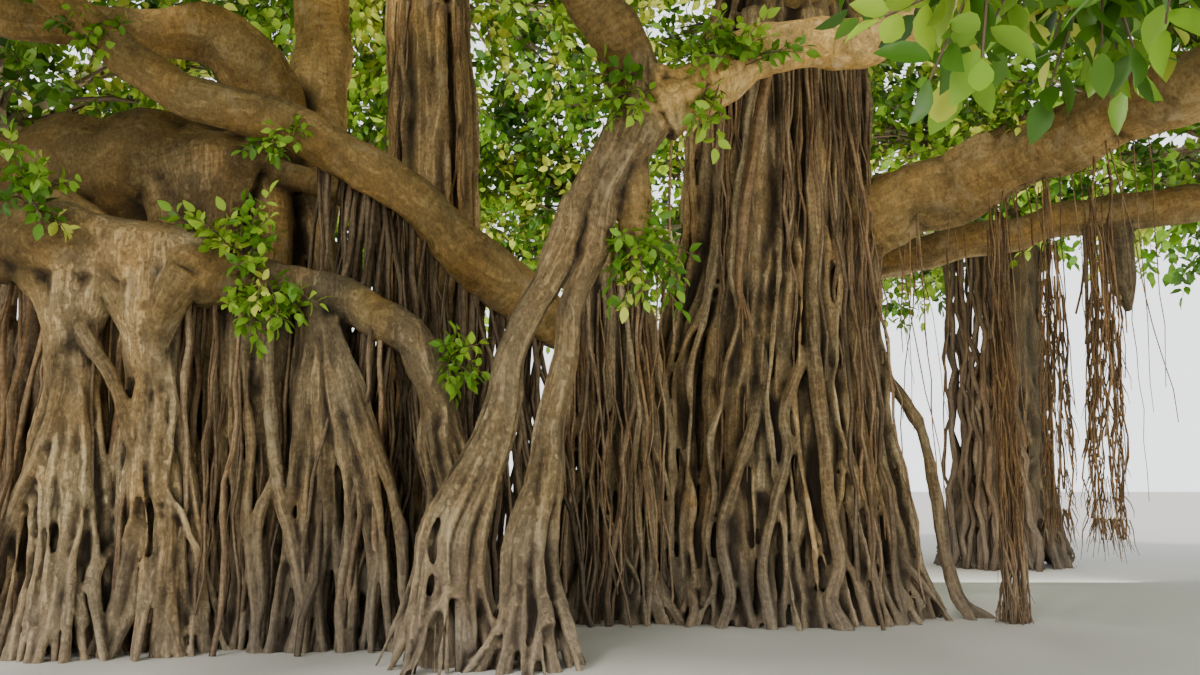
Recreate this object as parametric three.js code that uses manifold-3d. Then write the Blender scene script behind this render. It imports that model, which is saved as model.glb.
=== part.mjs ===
// A whole banyan: trunks and root pillars from a flat cut at ground level, the boughs that they
// carry, bundles of hanging roots, and the masses of foliage that make up its wide, low crown.
// Millimetres, +Z up. The origin is the centre of the flat cut under the main trunk. -Y is the
// front of the tree, +X its right side.
import * as THREE from "three";
import { mergeVertices } from "three/addons/utils/BufferGeometryUtils.js";
import Module from "manifold-3d";

const wasm = await Module();
wasm.setup();

const CLEARANCE = 0.5;
const FRONT = -Math.PI / 2;

// The crown is a low dome of three tiers round its own centre, which lies left of the main trunk.
const CROWN_CENTRE = [-2000, 300];
const RIM = { count: 10, reachX: 12200, reachY: 11400, height: 8600, start: FRONT };
const SHOULDER = { count: 6, reachX: 6900, reachY: 6500, height: 12100, start: FRONT + Math.PI / 6 };
const RIM_SIZE = { radial: 4700, across: 4500, up: 2500, down: 2500, droop: 700 };
const SHOULDER_SIZE = { radial: 4500, across: 4300, up: 2400, down: 2200, droop: 350 };
const TOP_SIZE = { radial: 4300, across: 4000, up: 2200, down: 2000, droop: 300 };
const LOW_SIZE = { radial: 1500, across: 1900, up: 1150, down: 1250, droop: 150 };
const TOP_RIGHT = [900, 700, 14500];
const TOP_LEFT = [-4500, 200, 14300];
const LOW_FRONT = [-100, -10400, 4350];
const JITTER = { turn: 0.06, reach: 0.04, height: 350 };

// How uneven a mass is, how far a bough's end lies inside it, and how near its neighbours must come
// before the two meet on a flat face.
const LUMP = 0.13;
const RIPPLE = 0.08;
const MASS_DETAIL = 2;
const ENTRY = 450;
const MEETING = 0.9;

const TRUNK_SIDES = 12;
const PILLAR_SIDES = 8;
const BOUGH_SIDES = 7;
const ROOT_SIDES = 6;
const FLUTE = 0.07;
const FOOT_CROWDING = 1.15;
const BOUGH_STEP = 2000;
const PILLAR_STEPS = 6;
const UP = new THREE.Vector3(0, 0, 1);

const BARK = { color: 0x8a7358, roughness: 0.9, metalness: 0 };
const SMOOTH_BARK = { color: 0x9a7a55, roughness: 0.85, metalness: 0 };
const ROOT_BARK = { color: 0x7a5138, roughness: 0.9, metalness: 0 };
const LEAF = { color: 0x4f7a2a, roughness: 0.7, metalness: 0 };

// Trunks and pillars: each level is [height, x, y, half-width, half-depth].
const TRUNKS = {
  trunk_main: [
    [0, 0, 0, 2000, 1750],
    [600, -100, 0, 1800, 1500],
    [2700, -200, 0, 1550, 1300],
    [5400, 0, -50, 1200, 1050],
    [7200, 100, -50, 1150, 1000],
    [9200, 150, 0, 750, 700],
  ],
  trunk_middle: [
    [0, -2400, -550, 950, 850],
    [700, -2350, -650, 800, 750],
    [2200, -2300, -800, 680, 620],
    [3600, -2400, -1000, 540, 500],
    [4400, -2450, -1100, 380, 380],
  ],
  trunk_left: [
    [0, -7000, -650, 1700, 1400],
    [700, -7000, -750, 1450, 1150],
    [3000, -7000, -900, 1200, 1050],
    [5000, -7050, -1150, 1050, 900],
    [6200, -6850, -1150, 700, 650],
  ],
  trunk_inner: [
    [0, -4750, -700, 1000, 900],
    [900, -4750, -750, 780, 720],
    [3000, -4750, -850, 620, 600],
    [6000, -4770, -900, 540, 540],
    [8500, -4900, -900, 500, 500],
    [9600, -4950, -900, 400, 400],
  ],
};

const PILLARS = {
  pillar_arch: [
    [0, -7850, -3650, 550, 450],
    [800, -7850, -3650, 400, 340],
    [2200, -7930, -3620, 300, 270],
    [3200, -7970, -3600, 300, 270],
    [3900, -7970, -3600, 400, 330],
  ],
  pillar_scarred: [
    [0, -7000, -3350, 620, 500],
    [900, -7030, -3380, 440, 380],
    [2400, -7150, -3450, 290, 280],
    [3200, -7230, -3500, 300, 280],
    [3950, -7200, -3500, 400, 330],
  ],
  pillar_curtain: [
    [0, -6130, -3000, 500, 300],
    [900, -6150, -3050, 430, 220],
    [3600, -6250, -3300, 380, 170],
  ],
  pillar_fan: [
    [0, -5150, -2900, 750, 480],
    [1500, -5350, -3050, 540, 370],
    [3450, -5500, -3280, 240, 220],
  ],
  pillar_bent: [
    [0, -3950, -3200, 380, 330],
    [1300, -3960, -3350, 240, 240],
    [2300, -4150, -3380, 200, 200],
    [3200, -4500, -3350, 220, 200],
  ],
  pillar_far_left: [
    [0, -10650, -4150, 550, 500],
    [900, -10650, -4130, 380, 340],
    [3000, -10650, -4100, 260, 250],
    [4950, -10650, -4080, 260, 250],
  ],
  pillar_centre_right: [
    [0, -3050, -4500, 420, 350],
    [950, -3150, -4300, 250, 240],
    [2000, -3030, -4200, 200, 200],
    [3160, -2890, -4150, 190, 190],
    [4200, -2500, -4100, 270, 250],
    [5500, -2080, -4100, 270, 270],
  ],
  pillar_centre_left: [
    [0, -3980, -4350, 480, 400],
    [950, -3920, -4300, 320, 270],
    [2670, -3330, -4150, 230, 210],
    [4350, -2640, -4100, 210, 200],
  ],
  pillar_far_right: [
    [0, 6100, 8000, 1400, 1200],
    [900, 6130, 7950, 1100, 950],
    [3000, 6250, 7800, 780, 720],
    [5000, 6500, 7700, 500, 480],
    [7400, 6800, 7700, 400, 400],
  ],
  pillar_rear: [
    [0, 1000, 6200, 650, 600],
    [900, 1000, 6150, 430, 400],
    [3200, 950, 6050, 300, 300],
    [6800, 900, 6000, 280, 280],
  ],
  pillar_rear_left: [
    [0, -9300, 5500, 650, 600],
    [900, -9300, 5450, 430, 400],
    [3200, -9300, 5400, 300, 300],
    [6500, -9300, 5400, 280, 280],
  ],
};

// Boughs: each point is [x, y, z, radius]. A bough with a mass runs on from its last point into it.
const BOUGHS = [
  { name: "bough_front_left", to: "mass_rim_9", tip: 220, via: [
    [-7050, -3500, 3980, 420],
    [-8000, -3600, 4080, 460],
    [-9000, -3700, 4300, 450],
    [-11000, -4200, 5150, 370],
  ] },
  { name: "bough_front_left_thin", via: [
    [-7000, -3500, 3900, 380],
    [-6030, -3400, 3750, 290],
    [-5190, -3300, 3600, 240],
    [-4500, -3350, 3180, 220],
  ] },
  { name: "bough_left", to: "mass_rim_8", tip: 250, via: [
    [-7200, -1250, 5350, 800],
    [-8300, -1500, 5650, 680],
    [-10100, -1700, 5550, 550],
    [-12000, -500, 6200, 400],
  ] },
  { name: "bough_cross", to: "mass_rim_10", tip: 150, via: [
    [-2550, -1250, 3620, 350],
    [-3340, -2050, 3750, 330],
    [-4800, -2800, 5000, 270],
    [-5880, -3100, 5610, 260],
    [-7140, -3400, 5960, 240],
    [-8260, -3900, 6770, 200],
  ] },
  { name: "bough_upper_left", to: "mass_rim_9", tip: 160, via: [
    [-6860, -1250, 5900, 420],
    [-6880, -1600, 6850, 440],
    [-7450, -2000, 7280, 370],
    [-8240, -2400, 7150, 260],
    [-9390, -3100, 7000, 220],
  ] },
  { name: "bough_left_upright", to: "mass_shoulder_5", tip: 220, via: [
    [-6400, -850, 5700, 430],
    [-6420, -700, 7500, 390],
    [-6550, -600, 9000, 350],
  ] },
  { name: "bough_rear_left", to: "mass_rim_7", tip: 200, via: [
    [-7250, -350, 5300, 420],
    [-8300, 2500, 6250, 360],
    [-9300, 5400, 6700, 310],
  ] },
  { name: "bough_centre_left", to: "mass_rim_1", tip: 150, via: [
    [-2060, -4100, 5350, 280],
    [-2290, -4200, 6150, 270],
    [-2700, -4500, 6600, 250],
    [-3000, -6200, 7100, 210],
  ] },
  { name: "bough_centre_right", to: "mass_rim_2", tip: 150, via: [
    [-1900, -4060, 5420, 280],
    [-1450, -3930, 5760, 280],
    [-770, -3730, 6250, 270],
    [420, -3700, 6410, 250],
    [1230, -3900, 6770, 240],
    [2900, -5600, 7400, 200],
  ] },
  { name: "bough_right", to: "mass_rim_3", tip: 220, via: [
    [700, -350, 5120, 480],
    [2610, -1600, 5710, 410],
    [3460, -2500, 5960, 380],
    [4300, -3500, 6120, 350],
    [6200, -3900, 6900, 280],
  ] },
  { name: "bough_right_lower", to: "mass_rim_4", tip: 160, via: [
    [900, 450, 4800, 330],
    [1630, 500, 4920, 250],
    [3250, 100, 5230, 240],
    [4460, -400, 5380, 250],
    [5560, -700, 5450, 240],
    [7400, 700, 6200, 210],
  ] },
  { name: "bough_rear", to: "mass_rim_6", tip: 200, via: [
    [400, 600, 6200, 430],
    [800, 3000, 6700, 370],
    [900, 6000, 7000, 310],
  ] },
  { name: "bough_upper_front", to: "mass_shoulder_1", tip: 200, via: [
    [350, -250, 8300, 430],
    [700, -1700, 9500, 350],
  ] },
  { name: "bough_upper_right", to: "mass_shoulder_2", tip: 220, via: [
    [500, 50, 8000, 430],
    [1900, 150, 9500, 360],
  ] },
  { name: "bough_upper_rear", to: "mass_shoulder_3", tip: 200, via: [
    [250, 350, 8200, 430],
    [600, 2000, 9500, 350],
  ] },
  { name: "bough_crown_right", to: "mass_top_right", tip: 260, via: [
    [150, 0, 8900, 520],
    [250, 100, 10700, 400],
  ] },
  { name: "bough_inner_front", to: "mass_shoulder_6", tip: 180, via: [
    [-4950, -1100, 8800, 360],
    [-5050, -2500, 10000, 290],
  ] },
  { name: "bough_inner_rear", to: "mass_shoulder_4", tip: 180, via: [
    [-4950, -600, 8700, 360],
    [-5150, 1700, 10000, 290],
  ] },
  { name: "bough_crown_left", to: "mass_top_left", tip: 200, via: [
    [-4950, -900, 9200, 360],
    [-4850, -600, 11000, 290],
  ] },
  { name: "bough_drooping", to: "mass_low_front", tip: 40, via: [
    [-1300, -10300, 6900, 90],
    [-1000, -10400, 5700, 60],
  ] },
];

// A bundle of hanging roots that has reached the ground, given by levels as the pillars are.
const GROUNDED_ROOTS = {
  hanging_roots_grounded: [
    [0, 2580, -1300, 220, 220],
    [1500, 2600, -1300, 170, 160],
    [3000, 2680, -1400, 90, 90],
    [5450, 2700, -1550, 110, 110],
  ],
};

// Bundles of roots that hang from the right boughs: [x, y, z, radius] from the bough down.
const HANGING_ROOTS = {
  hanging_roots_middle: [
    [3000, -2050, 5700, 150],
    [2950, -2050, 3200, 130],
    [2850, -2050, 1150, 190],
  ],
  hanging_roots_outer: [
    [3420, -2450, 5800, 140],
    [3340, -2450, 3200, 150],
    [3200, -2450, 1150, 220],
  ],
  hanging_stub: [
    [4620, -500, 5300, 210],
    [4650, -500, 4500, 180],
    [4700, -500, 3950, 60],
  ],
};

/** Closes a stack of rings, each a list of points in step, into one body. */
function loft(rings) {
  const sides = rings[0].length;
  const points = rings.flat();
  const faces = [];
  for (let level = 0; level + 1 < rings.length; level++) {
    for (let side = 0; side < sides; side++) {
      const a = level * sides + side;
      const b = level * sides + ((side + 1) % sides);
      faces.push(a, b, b + sides, a, b + sides, a + sides);
    }
  }
  for (const [level, turn] of [[0, -1], [rings.length - 1, 1]]) {
    const centre = new THREE.Vector3();
    rings[level].forEach((point) => centre.addScaledVector(point, 1 / sides));
    points.push(centre);
    for (let side = 0; side < sides; side++) {
      const a = level * sides + side;
      const b = level * sides + ((side + 1) % sides);
      faces.push(...(turn > 0 ? [a, b] : [b, a]), points.length - 1);
    }
  }
  return toSolid(points, faces);
}

/** Turns points and triangles into a solid that can be cut. */
function toSolid(points, faces) {
  const vertProperties = new Float32Array(points.flatMap((point) => point.toArray()));
  const triVerts = new Uint32Array(faces);
  return new wasm.Manifold(new wasm.Mesh({ numProp: 3, vertProperties, triVerts }));
}

/** The value at a share t of the way along a list of named values, eased between neighbours. */
function smooth(values, t) {
  const span = Math.min(Math.floor(t * (values.length - 1)), values.length - 2);
  const u = t * (values.length - 1) - span;
  const ease = u * u * (3 - 2 * u);
  return values[span] + (values[span + 1] - values[span]) * ease;
}

/** A trunk or pillar: level rings with shallow flutes, its foot a flat cut at height 0. */
function pillar(levels, sides, grow) {
  const spine = new THREE.CatmullRomCurve3(levels.map(([z, x, y]) => new THREE.Vector3(x, y, z)));
  const count = Math.max(PILLAR_STEPS, levels.length + 2);
  const rings = [];
  for (let step = 0; step <= count; step++) {
    const t = (step / count) ** FOOT_CROWDING;
    const middle = spine.getPoint(t);
    const wide = smooth(levels.map((level) => level[3]), t) + grow;
    const deep = smooth(levels.map((level) => level[4]), t) + grow;
    if (step === 0) middle.z = 0;
    if (step === count) middle.z += grow;
    const ring = [];
    for (let side = 0; side < sides; side++) {
      const angle = (side / sides) * 2 * Math.PI;
      const flute = 1 + FLUTE * (1 - t) * Math.cos((angle * sides) / 2) - FLUTE * 0.5;
      const x = middle.x + wide * flute * Math.cos(angle);
      ring.push(new THREE.Vector3(x, middle.y + deep * flute * Math.sin(angle), middle.z));
    }
    rings.push(ring);
  }
  return loft(rings);
}

/** A bough or root: rings square to its path, tapering from one named radius to the next. */
function limb(points, sides, grow) {
  const knots = points.map(([x, y, z]) => new THREE.Vector3(x, y, z));
  const path = new THREE.CatmullRomCurve3(knots, false, "centripetal");
  const steps = Math.max(points.length, Math.round(path.getLength() / BOUGH_STEP) + 2);
  const frames = path.computeFrenetFrames(steps, false);
  const rings = [];
  for (let step = 0; step <= steps; step++) {
    const t = path.getUtoTmapping(step / steps);
    const middle = path.getPoint(t);
    if (step === 0) middle.addScaledVector(frames.tangents[step], -grow);
    if (step === steps) middle.addScaledVector(frames.tangents[step], grow);
    const radius = smooth(points.map((point) => point[3]), t) + grow;
    const ring = [];
    for (let side = 0; side < sides; side++) {
      const angle = (side / sides) * 2 * Math.PI;
      const point = middle.clone();
      point.addScaledVector(frames.normals[step], radius * Math.cos(angle));
      point.addScaledVector(frames.binormals[step], radius * Math.sin(angle));
      ring.push(point);
    }
    rings.push(ring);
  }
  return loft(rings);
}

/** How far a mass's uneven surface lies from its centre in a direction, in its own axes. */
function reachOf(mass, direction) {
  const { size, seed } = mass;
  const up = direction.z > 0 ? size.up : size.down;
  const oval = 1 / Math.hypot(direction.x / size.radial, direction.y / size.across, direction.z / up);
  const wave = Math.sin(3.1 * direction.x + seed) * Math.cos(2.7 * direction.y - 1.7 * seed);
  const ripple = Math.sin(5.3 * direction.y + 2.3 * seed) * Math.sin(4.7 * direction.z + seed);
  return oval * (1 + LUMP * wave + RIPPLE * ripple);
}

/** Turns a direction from the world's axes into a mass's own, or back. */
function turned(vector, angle) {
  return vector.clone().applyAxisAngle(UP, angle);
}

/** The flat faces where a mass meets its neighbours, each a point and the way to the neighbour. */
function meetings(mass) {
  const faces = [];
  for (const other of masses) {
    const towards = other.centre.clone().sub(mass.centre);
    const apart = towards.length();
    towards.normalize();
    const own = reachOf(mass, turned(towards, -mass.outward));
    const theirs = reachOf(other, turned(towards.clone().negate(), -other.outward));
    if (other === mass || own + theirs < apart * MEETING) continue;
    faces.push({ towards, share: (own / (own + theirs)) * apart - CLEARANCE / 2 });
  }
  return faces;
}

/** A mass of foliage: one closed, uneven blob that droops outwards and is flat where it meets others. */
function massSolid(mass) {
  const ball = new THREE.IcosahedronGeometry(1, MASS_DETAIL);
  ball.deleteAttribute("normal");
  ball.deleteAttribute("uv");
  const shell = mergeVertices(ball);
  const faces = meetings(mass);
  const points = [];
  const corners = shell.attributes.position;
  for (let i = 0; i < corners.count; i++) {
    const direction = new THREE.Vector3().fromBufferAttribute(corners, i).normalize();
    const point = direction.clone().multiplyScalar(reachOf(mass, direction));
    point.z -= mass.size.droop * (point.x / mass.size.radial);
    const arm = turned(point, mass.outward);
    for (const { towards, share } of faces) {
      const reach = arm.dot(towards);
      if (reach > share) arm.multiplyScalar(share / reach);
    }
    points.push(arm.add(mass.centre));
  }
  return toSolid(points, Array.from(shell.index.array));
}

/** The point a little way inside a mass, on the straight line from outside to its centre. */
function entryPoint(mass, from) {
  const away = turned(from.clone().sub(mass.centre), -mass.outward).normalize();
  const point = away.clone().multiplyScalar(reachOf(mass, away) - ENTRY);
  point.z -= mass.size.droop * (point.x / mass.size.radial);
  return turned(point, mass.outward).add(mass.centre);
}

/** A ring of masses round the crown's centre, each a little off the even spacing. */
function tier(prefix, ring, size) {
  const masses = [];
  for (let i = 0; i < ring.count; i++) {
    const angle = ring.start + (i / ring.count) * 2 * Math.PI + JITTER.turn * Math.sin(5 * i);
    const reach = 1 + JITTER.reach * Math.sin(3 * i + 1);
    const x = CROWN_CENTRE[0] + ring.reachX * reach * Math.cos(angle);
    const y = CROWN_CENTRE[1] + ring.reachY * reach * Math.sin(angle);
    const z = ring.height + JITTER.height * Math.sin(4 * i + ring.count);
    const centre = new THREE.Vector3(x, y, z);
    masses.push({ name: `${prefix}_${i + 1}`, centre, size, outward: angle, seed: 1.7 * i + ring.count });
  }
  return masses;
}

/** One mass at a named place, outside the even tiers. */
function lone(name, place, size, outward, seed) {
  return { name, centre: new THREE.Vector3(...place), size, outward, seed };
}

const masses = [
  ...tier("mass_rim", RIM, RIM_SIZE),
  ...tier("mass_shoulder", SHOULDER, SHOULDER_SIZE),
  lone("mass_top_right", TOP_RIGHT, TOP_SIZE, 0, 2),
  lone("mass_top_left", TOP_LEFT, TOP_SIZE, Math.PI, 5),
  lone("mass_low_front", LOW_FRONT, LOW_SIZE, FRONT, 1),
];

/** A bough's whole path, with its end inside the mass that it feeds. */
function boughPath(bough) {
  if (!bough.to) return bough.via;
  const mass = masses.find((candidate) => candidate.name === bough.to);
  const [x, y, z] = bough.via[bough.via.length - 1];
  return [...bough.via, [...entryPoint(mass, new THREE.Vector3(x, y, z)).toArray(), bough.tip]];
}

const tree = new THREE.Group();
const placed = [];

/** Adds a solid to a group, cut back by the clearance wherever an earlier one already stands. */
function place(group, name, finish, foot, shape) {
  let solid = shape(0);
  for (const earlier of placed) {
    if (solid.intersect(earlier).volume() > 0) solid = solid.subtract(earlier);
  }
  placed.push(shape(CLEARANCE));
  const { vertProperties, triVerts } = solid.getMesh();
  const geometry = new THREE.BufferGeometry();
  geometry.setAttribute("position", new THREE.BufferAttribute(vertProperties, 3));
  geometry.setIndex(new THREE.BufferAttribute(triVerts, 1));
  geometry.translate(-foot.x, -foot.y, -foot.z);
  const mesh = new THREE.Mesh(geometry, new THREE.MeshStandardMaterial(finish));
  mesh.name = name;
  mesh.position.copy(foot);
  group.add(mesh);
}

/** Adds a group of upright solids that are given by levels from the ground. */
function placeUprights(uprights, finish, sides) {
  const group = new THREE.Group();
  for (const [name, levels] of Object.entries(uprights)) {
    const foot = new THREE.Vector3(levels[0][1], levels[0][2], 0);
    place(group, name, finish, foot, (grow) => pillar(levels, sides, grow));
  }
  tree.add(group);
}

/** Adds a group of limbs that are given by points along their paths. */
function placeLimbs(limbs, finish, sides) {
  const group = new THREE.Group();
  for (const [name, points] of limbs) {
    const foot = new THREE.Vector3(...points[0]);
    place(group, name, finish, foot, (grow) => limb(points, sides, grow));
  }
  tree.add(group);
}

/** Adds the crown, one solid for each mass. */
function placeCrown() {
  const group = new THREE.Group();
  for (const mass of masses) {
    place(group, mass.name, LEAF, mass.centre, () => massSolid(mass));
  }
  tree.add(group);
}

placeUprights(TRUNKS, BARK, TRUNK_SIDES);
placeUprights(PILLARS, BARK, PILLAR_SIDES);
placeUprights(GROUNDED_ROOTS, ROOT_BARK, ROOT_SIDES);
placeLimbs(BOUGHS.map((bough) => [bough.name, boughPath(bough)]), SMOOTH_BARK, BOUGH_SIDES);
placeLimbs(Object.entries(HANGING_ROOTS), ROOT_BARK, ROOT_SIDES);
placeCrown();

export default tree;
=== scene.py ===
"""A banyan: fused root trunks, boughs, hanging roots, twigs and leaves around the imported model."""

import logging
import math
from dataclasses import dataclass, field
from enum import Enum

import bmesh
import bpy
import numpy as np
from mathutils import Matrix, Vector
from mathutils.bvhtree import BVHTree
from mathutils.kdtree import KDTree


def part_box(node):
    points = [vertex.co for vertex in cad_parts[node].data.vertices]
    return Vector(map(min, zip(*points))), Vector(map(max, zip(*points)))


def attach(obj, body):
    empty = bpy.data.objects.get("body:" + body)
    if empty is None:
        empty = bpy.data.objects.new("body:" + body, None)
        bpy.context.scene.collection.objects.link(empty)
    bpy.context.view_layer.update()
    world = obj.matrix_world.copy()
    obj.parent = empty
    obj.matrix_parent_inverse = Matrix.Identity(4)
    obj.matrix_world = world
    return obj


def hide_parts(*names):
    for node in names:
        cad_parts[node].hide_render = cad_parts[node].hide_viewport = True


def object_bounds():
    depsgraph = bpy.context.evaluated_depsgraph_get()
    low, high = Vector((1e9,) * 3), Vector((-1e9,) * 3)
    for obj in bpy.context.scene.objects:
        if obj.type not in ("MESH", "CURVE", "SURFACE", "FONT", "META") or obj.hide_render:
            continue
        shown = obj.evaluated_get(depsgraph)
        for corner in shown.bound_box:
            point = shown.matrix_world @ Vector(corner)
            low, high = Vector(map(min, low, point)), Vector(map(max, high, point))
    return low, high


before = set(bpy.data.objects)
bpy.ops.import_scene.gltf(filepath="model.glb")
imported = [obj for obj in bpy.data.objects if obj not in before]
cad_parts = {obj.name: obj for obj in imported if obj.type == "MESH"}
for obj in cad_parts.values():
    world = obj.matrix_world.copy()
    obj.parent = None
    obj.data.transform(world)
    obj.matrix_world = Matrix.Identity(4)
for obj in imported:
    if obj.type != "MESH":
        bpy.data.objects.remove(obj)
CAD_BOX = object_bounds()
TAU = 2 * math.pi
UP = np.array([0.0, 0.0, 1.0])
EYE = (-2.5, -13.9, 1.6)
RING_STEP = 0.14  # metres between the points of a root or a bough
THINNEST = 0.004  # least radius of any root, in metres
GRAIN_SHIFT = 7.3  # metres between the bark patterns of one root and the next
ON_GROUND = 1e-4  # a face lower than this lies on the ground, in metres
log = logging.getLogger("banyan")


# Geometry tools


def lattice_noise(points: np.ndarray, seed: int) -> np.ndarray:
    """Smooth noise on a cubic lattice.

    Args:
        points: Places to read, one row each, in lattice cells.
        seed: Picks the pattern.

    Returns:
        One value from -1 to 1 for each point.
    """
    cell = np.floor(points).astype(np.int64)
    part = points - cell
    ease = part * part * (3 - 2 * part)
    total = np.zeros(len(points))
    for corner in range(8):
        step = np.array([corner & 1, corner >> 1 & 1, corner >> 2 & 1])
        near = cell + step
        mixed = near[:, 0] * 73856093 ^ near[:, 1] * 19349663 ^ near[:, 2] * 83492791
        mixed = (mixed + seed * 40503) & 0xFFFFFFFF
        mixed = (mixed ^ mixed >> 15) * 739982445 & 0xFFFFFFFF
        mixed = (mixed ^ mixed >> 12) * 695872825 & 0xFFFFFFFF
        value = ((mixed ^ mixed >> 15) & 0xFFFF) / 32767.5 - 1
        total += value * np.prod(np.where(step, ease, 1 - ease), axis=1)
    return total


def unit(vectors: np.ndarray) -> np.ndarray:
    """Vectors scaled to length one, along the last axis."""
    return vectors / np.maximum(np.linalg.norm(vectors, axis=-1, keepdims=True), 1e-9)


def wave(rng: np.random.Generator, along: np.ndarray, longest: float) -> np.ndarray:
    """A wandering line made of three sines.

    Args:
        rng: Source of the phases.
        along: Distances at which it is read, in metres.
        longest: Longest wavelength, in metres.

    Returns:
        Values of about -1 to 1.
    """
    total = np.zeros(len(along))
    for share, weight in ((1.0, 0.6), (0.47, 0.3), (0.21, 0.14)):
        length = longest * share * rng.uniform(0.8, 1.25)
        total += weight * np.sin(TAU * (along / length + rng.uniform()))
    return total


def eased(levels: np.ndarray, heights: np.ndarray) -> np.ndarray:
    """Centre and half sizes of an upright limb at some heights.

    Args:
        levels: Rows of height, x, y, half width and half depth, lowest first.
        heights: Heights to read.

    Returns:
        Rows of x, y, half width and half depth.
    """
    span = np.clip(np.searchsorted(levels[:, 0], heights, side="right") - 1, 0, len(levels) - 2)
    low, high = levels[span], levels[span + 1]
    t = np.clip((heights - low[:, 0]) / (high[:, 0] - low[:, 0]), 0, 1)
    t = (t * t * (3 - 2 * t))[:, None]
    return (low + (high - low) * t)[:, 1:]


def run_along(paths: np.ndarray) -> np.ndarray:
    """Distance from the first point to each point, for one path or many."""
    steps = np.linalg.norm(np.diff(paths, axis=-2), axis=-1)
    return np.concatenate([np.zeros((*steps.shape[:-1], 1)), np.cumsum(steps, axis=-1)], axis=-1)


def spline(knots: list, spacing: float) -> tuple[np.ndarray, np.ndarray]:
    """A smooth path through knots.

    Args:
        knots: Rows of x, y, z and radius.
        spacing: Distance between the points returned, in metres.

    Returns:
        The path's points, and the radius at each.
    """
    knots = np.array(knots, float)
    padded = np.vstack([2 * knots[0] - knots[1], knots, 2 * knots[-1] - knots[-2]])
    gaps = np.sqrt(np.linalg.norm(np.diff(padded[:, :3], axis=0), axis=1))
    time = np.concatenate([[0], np.cumsum(np.maximum(gaps, 1e-4))])
    rows = []
    for i in range(1, len(padded) - 2):
        t = np.linspace(time[i], time[i + 1], 24, endpoint=False)[:, None]
        p, s = padded[i - 1:i + 3], time[i - 1:i + 3]
        a = [((s[k + 1] - t) * p[k] + (t - s[k]) * p[k + 1]) / (s[k + 1] - s[k]) for k in range(3)]
        b = [((s[k + 2] - t) * a[k] + (t - s[k]) * a[k + 1]) / (s[k + 2] - s[k]) for k in range(2)]
        rows.append(((s[2] - t) * b[0] + (t - s[1]) * b[1]) / (s[2] - s[1]))
    fine = np.vstack(rows + [knots[-1:]])
    run = run_along(fine[:, :3])
    stops = np.linspace(0, run[-1], max(3, int(round(run[-1] / spacing)) + 1))
    out = np.stack([np.interp(stops, run, fine[:, k]) for k in range(4)], axis=1)
    return out[:, :3], np.maximum(out[:, 3], THINNEST)


def ring_frames(paths: np.ndarray) -> tuple[np.ndarray, np.ndarray, np.ndarray]:
    """Tangent and two cross directions along paths.

    Args:
        paths: Paths of equal length, as (path, point, xyz).

    Returns:
        Tangents, first cross directions and second cross directions.
    """
    tangent = unit(np.gradient(paths, axis=1))
    worst = np.abs(tangent).max(axis=1)
    axis = np.eye(3)[np.argmin(worst, axis=1)][:, None, :]
    across = unit(np.cross(tangent, np.broadcast_to(axis, tangent.shape)))
    return tangent, across, np.cross(tangent, across)


def tube_faces(many: int, steps: int, sides: int) -> tuple[np.ndarray, np.ndarray, np.ndarray]:
    """Faces of tubes, each of whose vertices are its rings, then the middles of both ends.

    Args:
        many: How many tubes.
        steps: Rings of each.
        sides: Vertices of each ring.

    Returns:
        Quads of the walls, triangles of the first ends and triangles of the last ends.
    """
    first = np.arange(many)[:, None, None] * (steps * sides + 2)
    ring = first + np.arange(steps - 1)[None, :, None] * sides
    side = np.arange(sides)[None, None, :]
    after = (side + 1) % sides
    quads = np.stack([ring + side, ring + after, ring + sides + after, ring + sides + side], axis=-1)
    first, side, after = first[:, 0], side[0], after[0]
    middle, last = first + steps * sides, first + (steps - 1) * sides
    root = np.stack(np.broadcast_arrays(first + after, first + side, middle), axis=-1)
    tip = np.stack(np.broadcast_arrays(last + side, last + after, middle + 1), axis=-1)
    return quads.reshape(-1, 4), root.reshape(-1, 3), tip.reshape(-1, 3)


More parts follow.
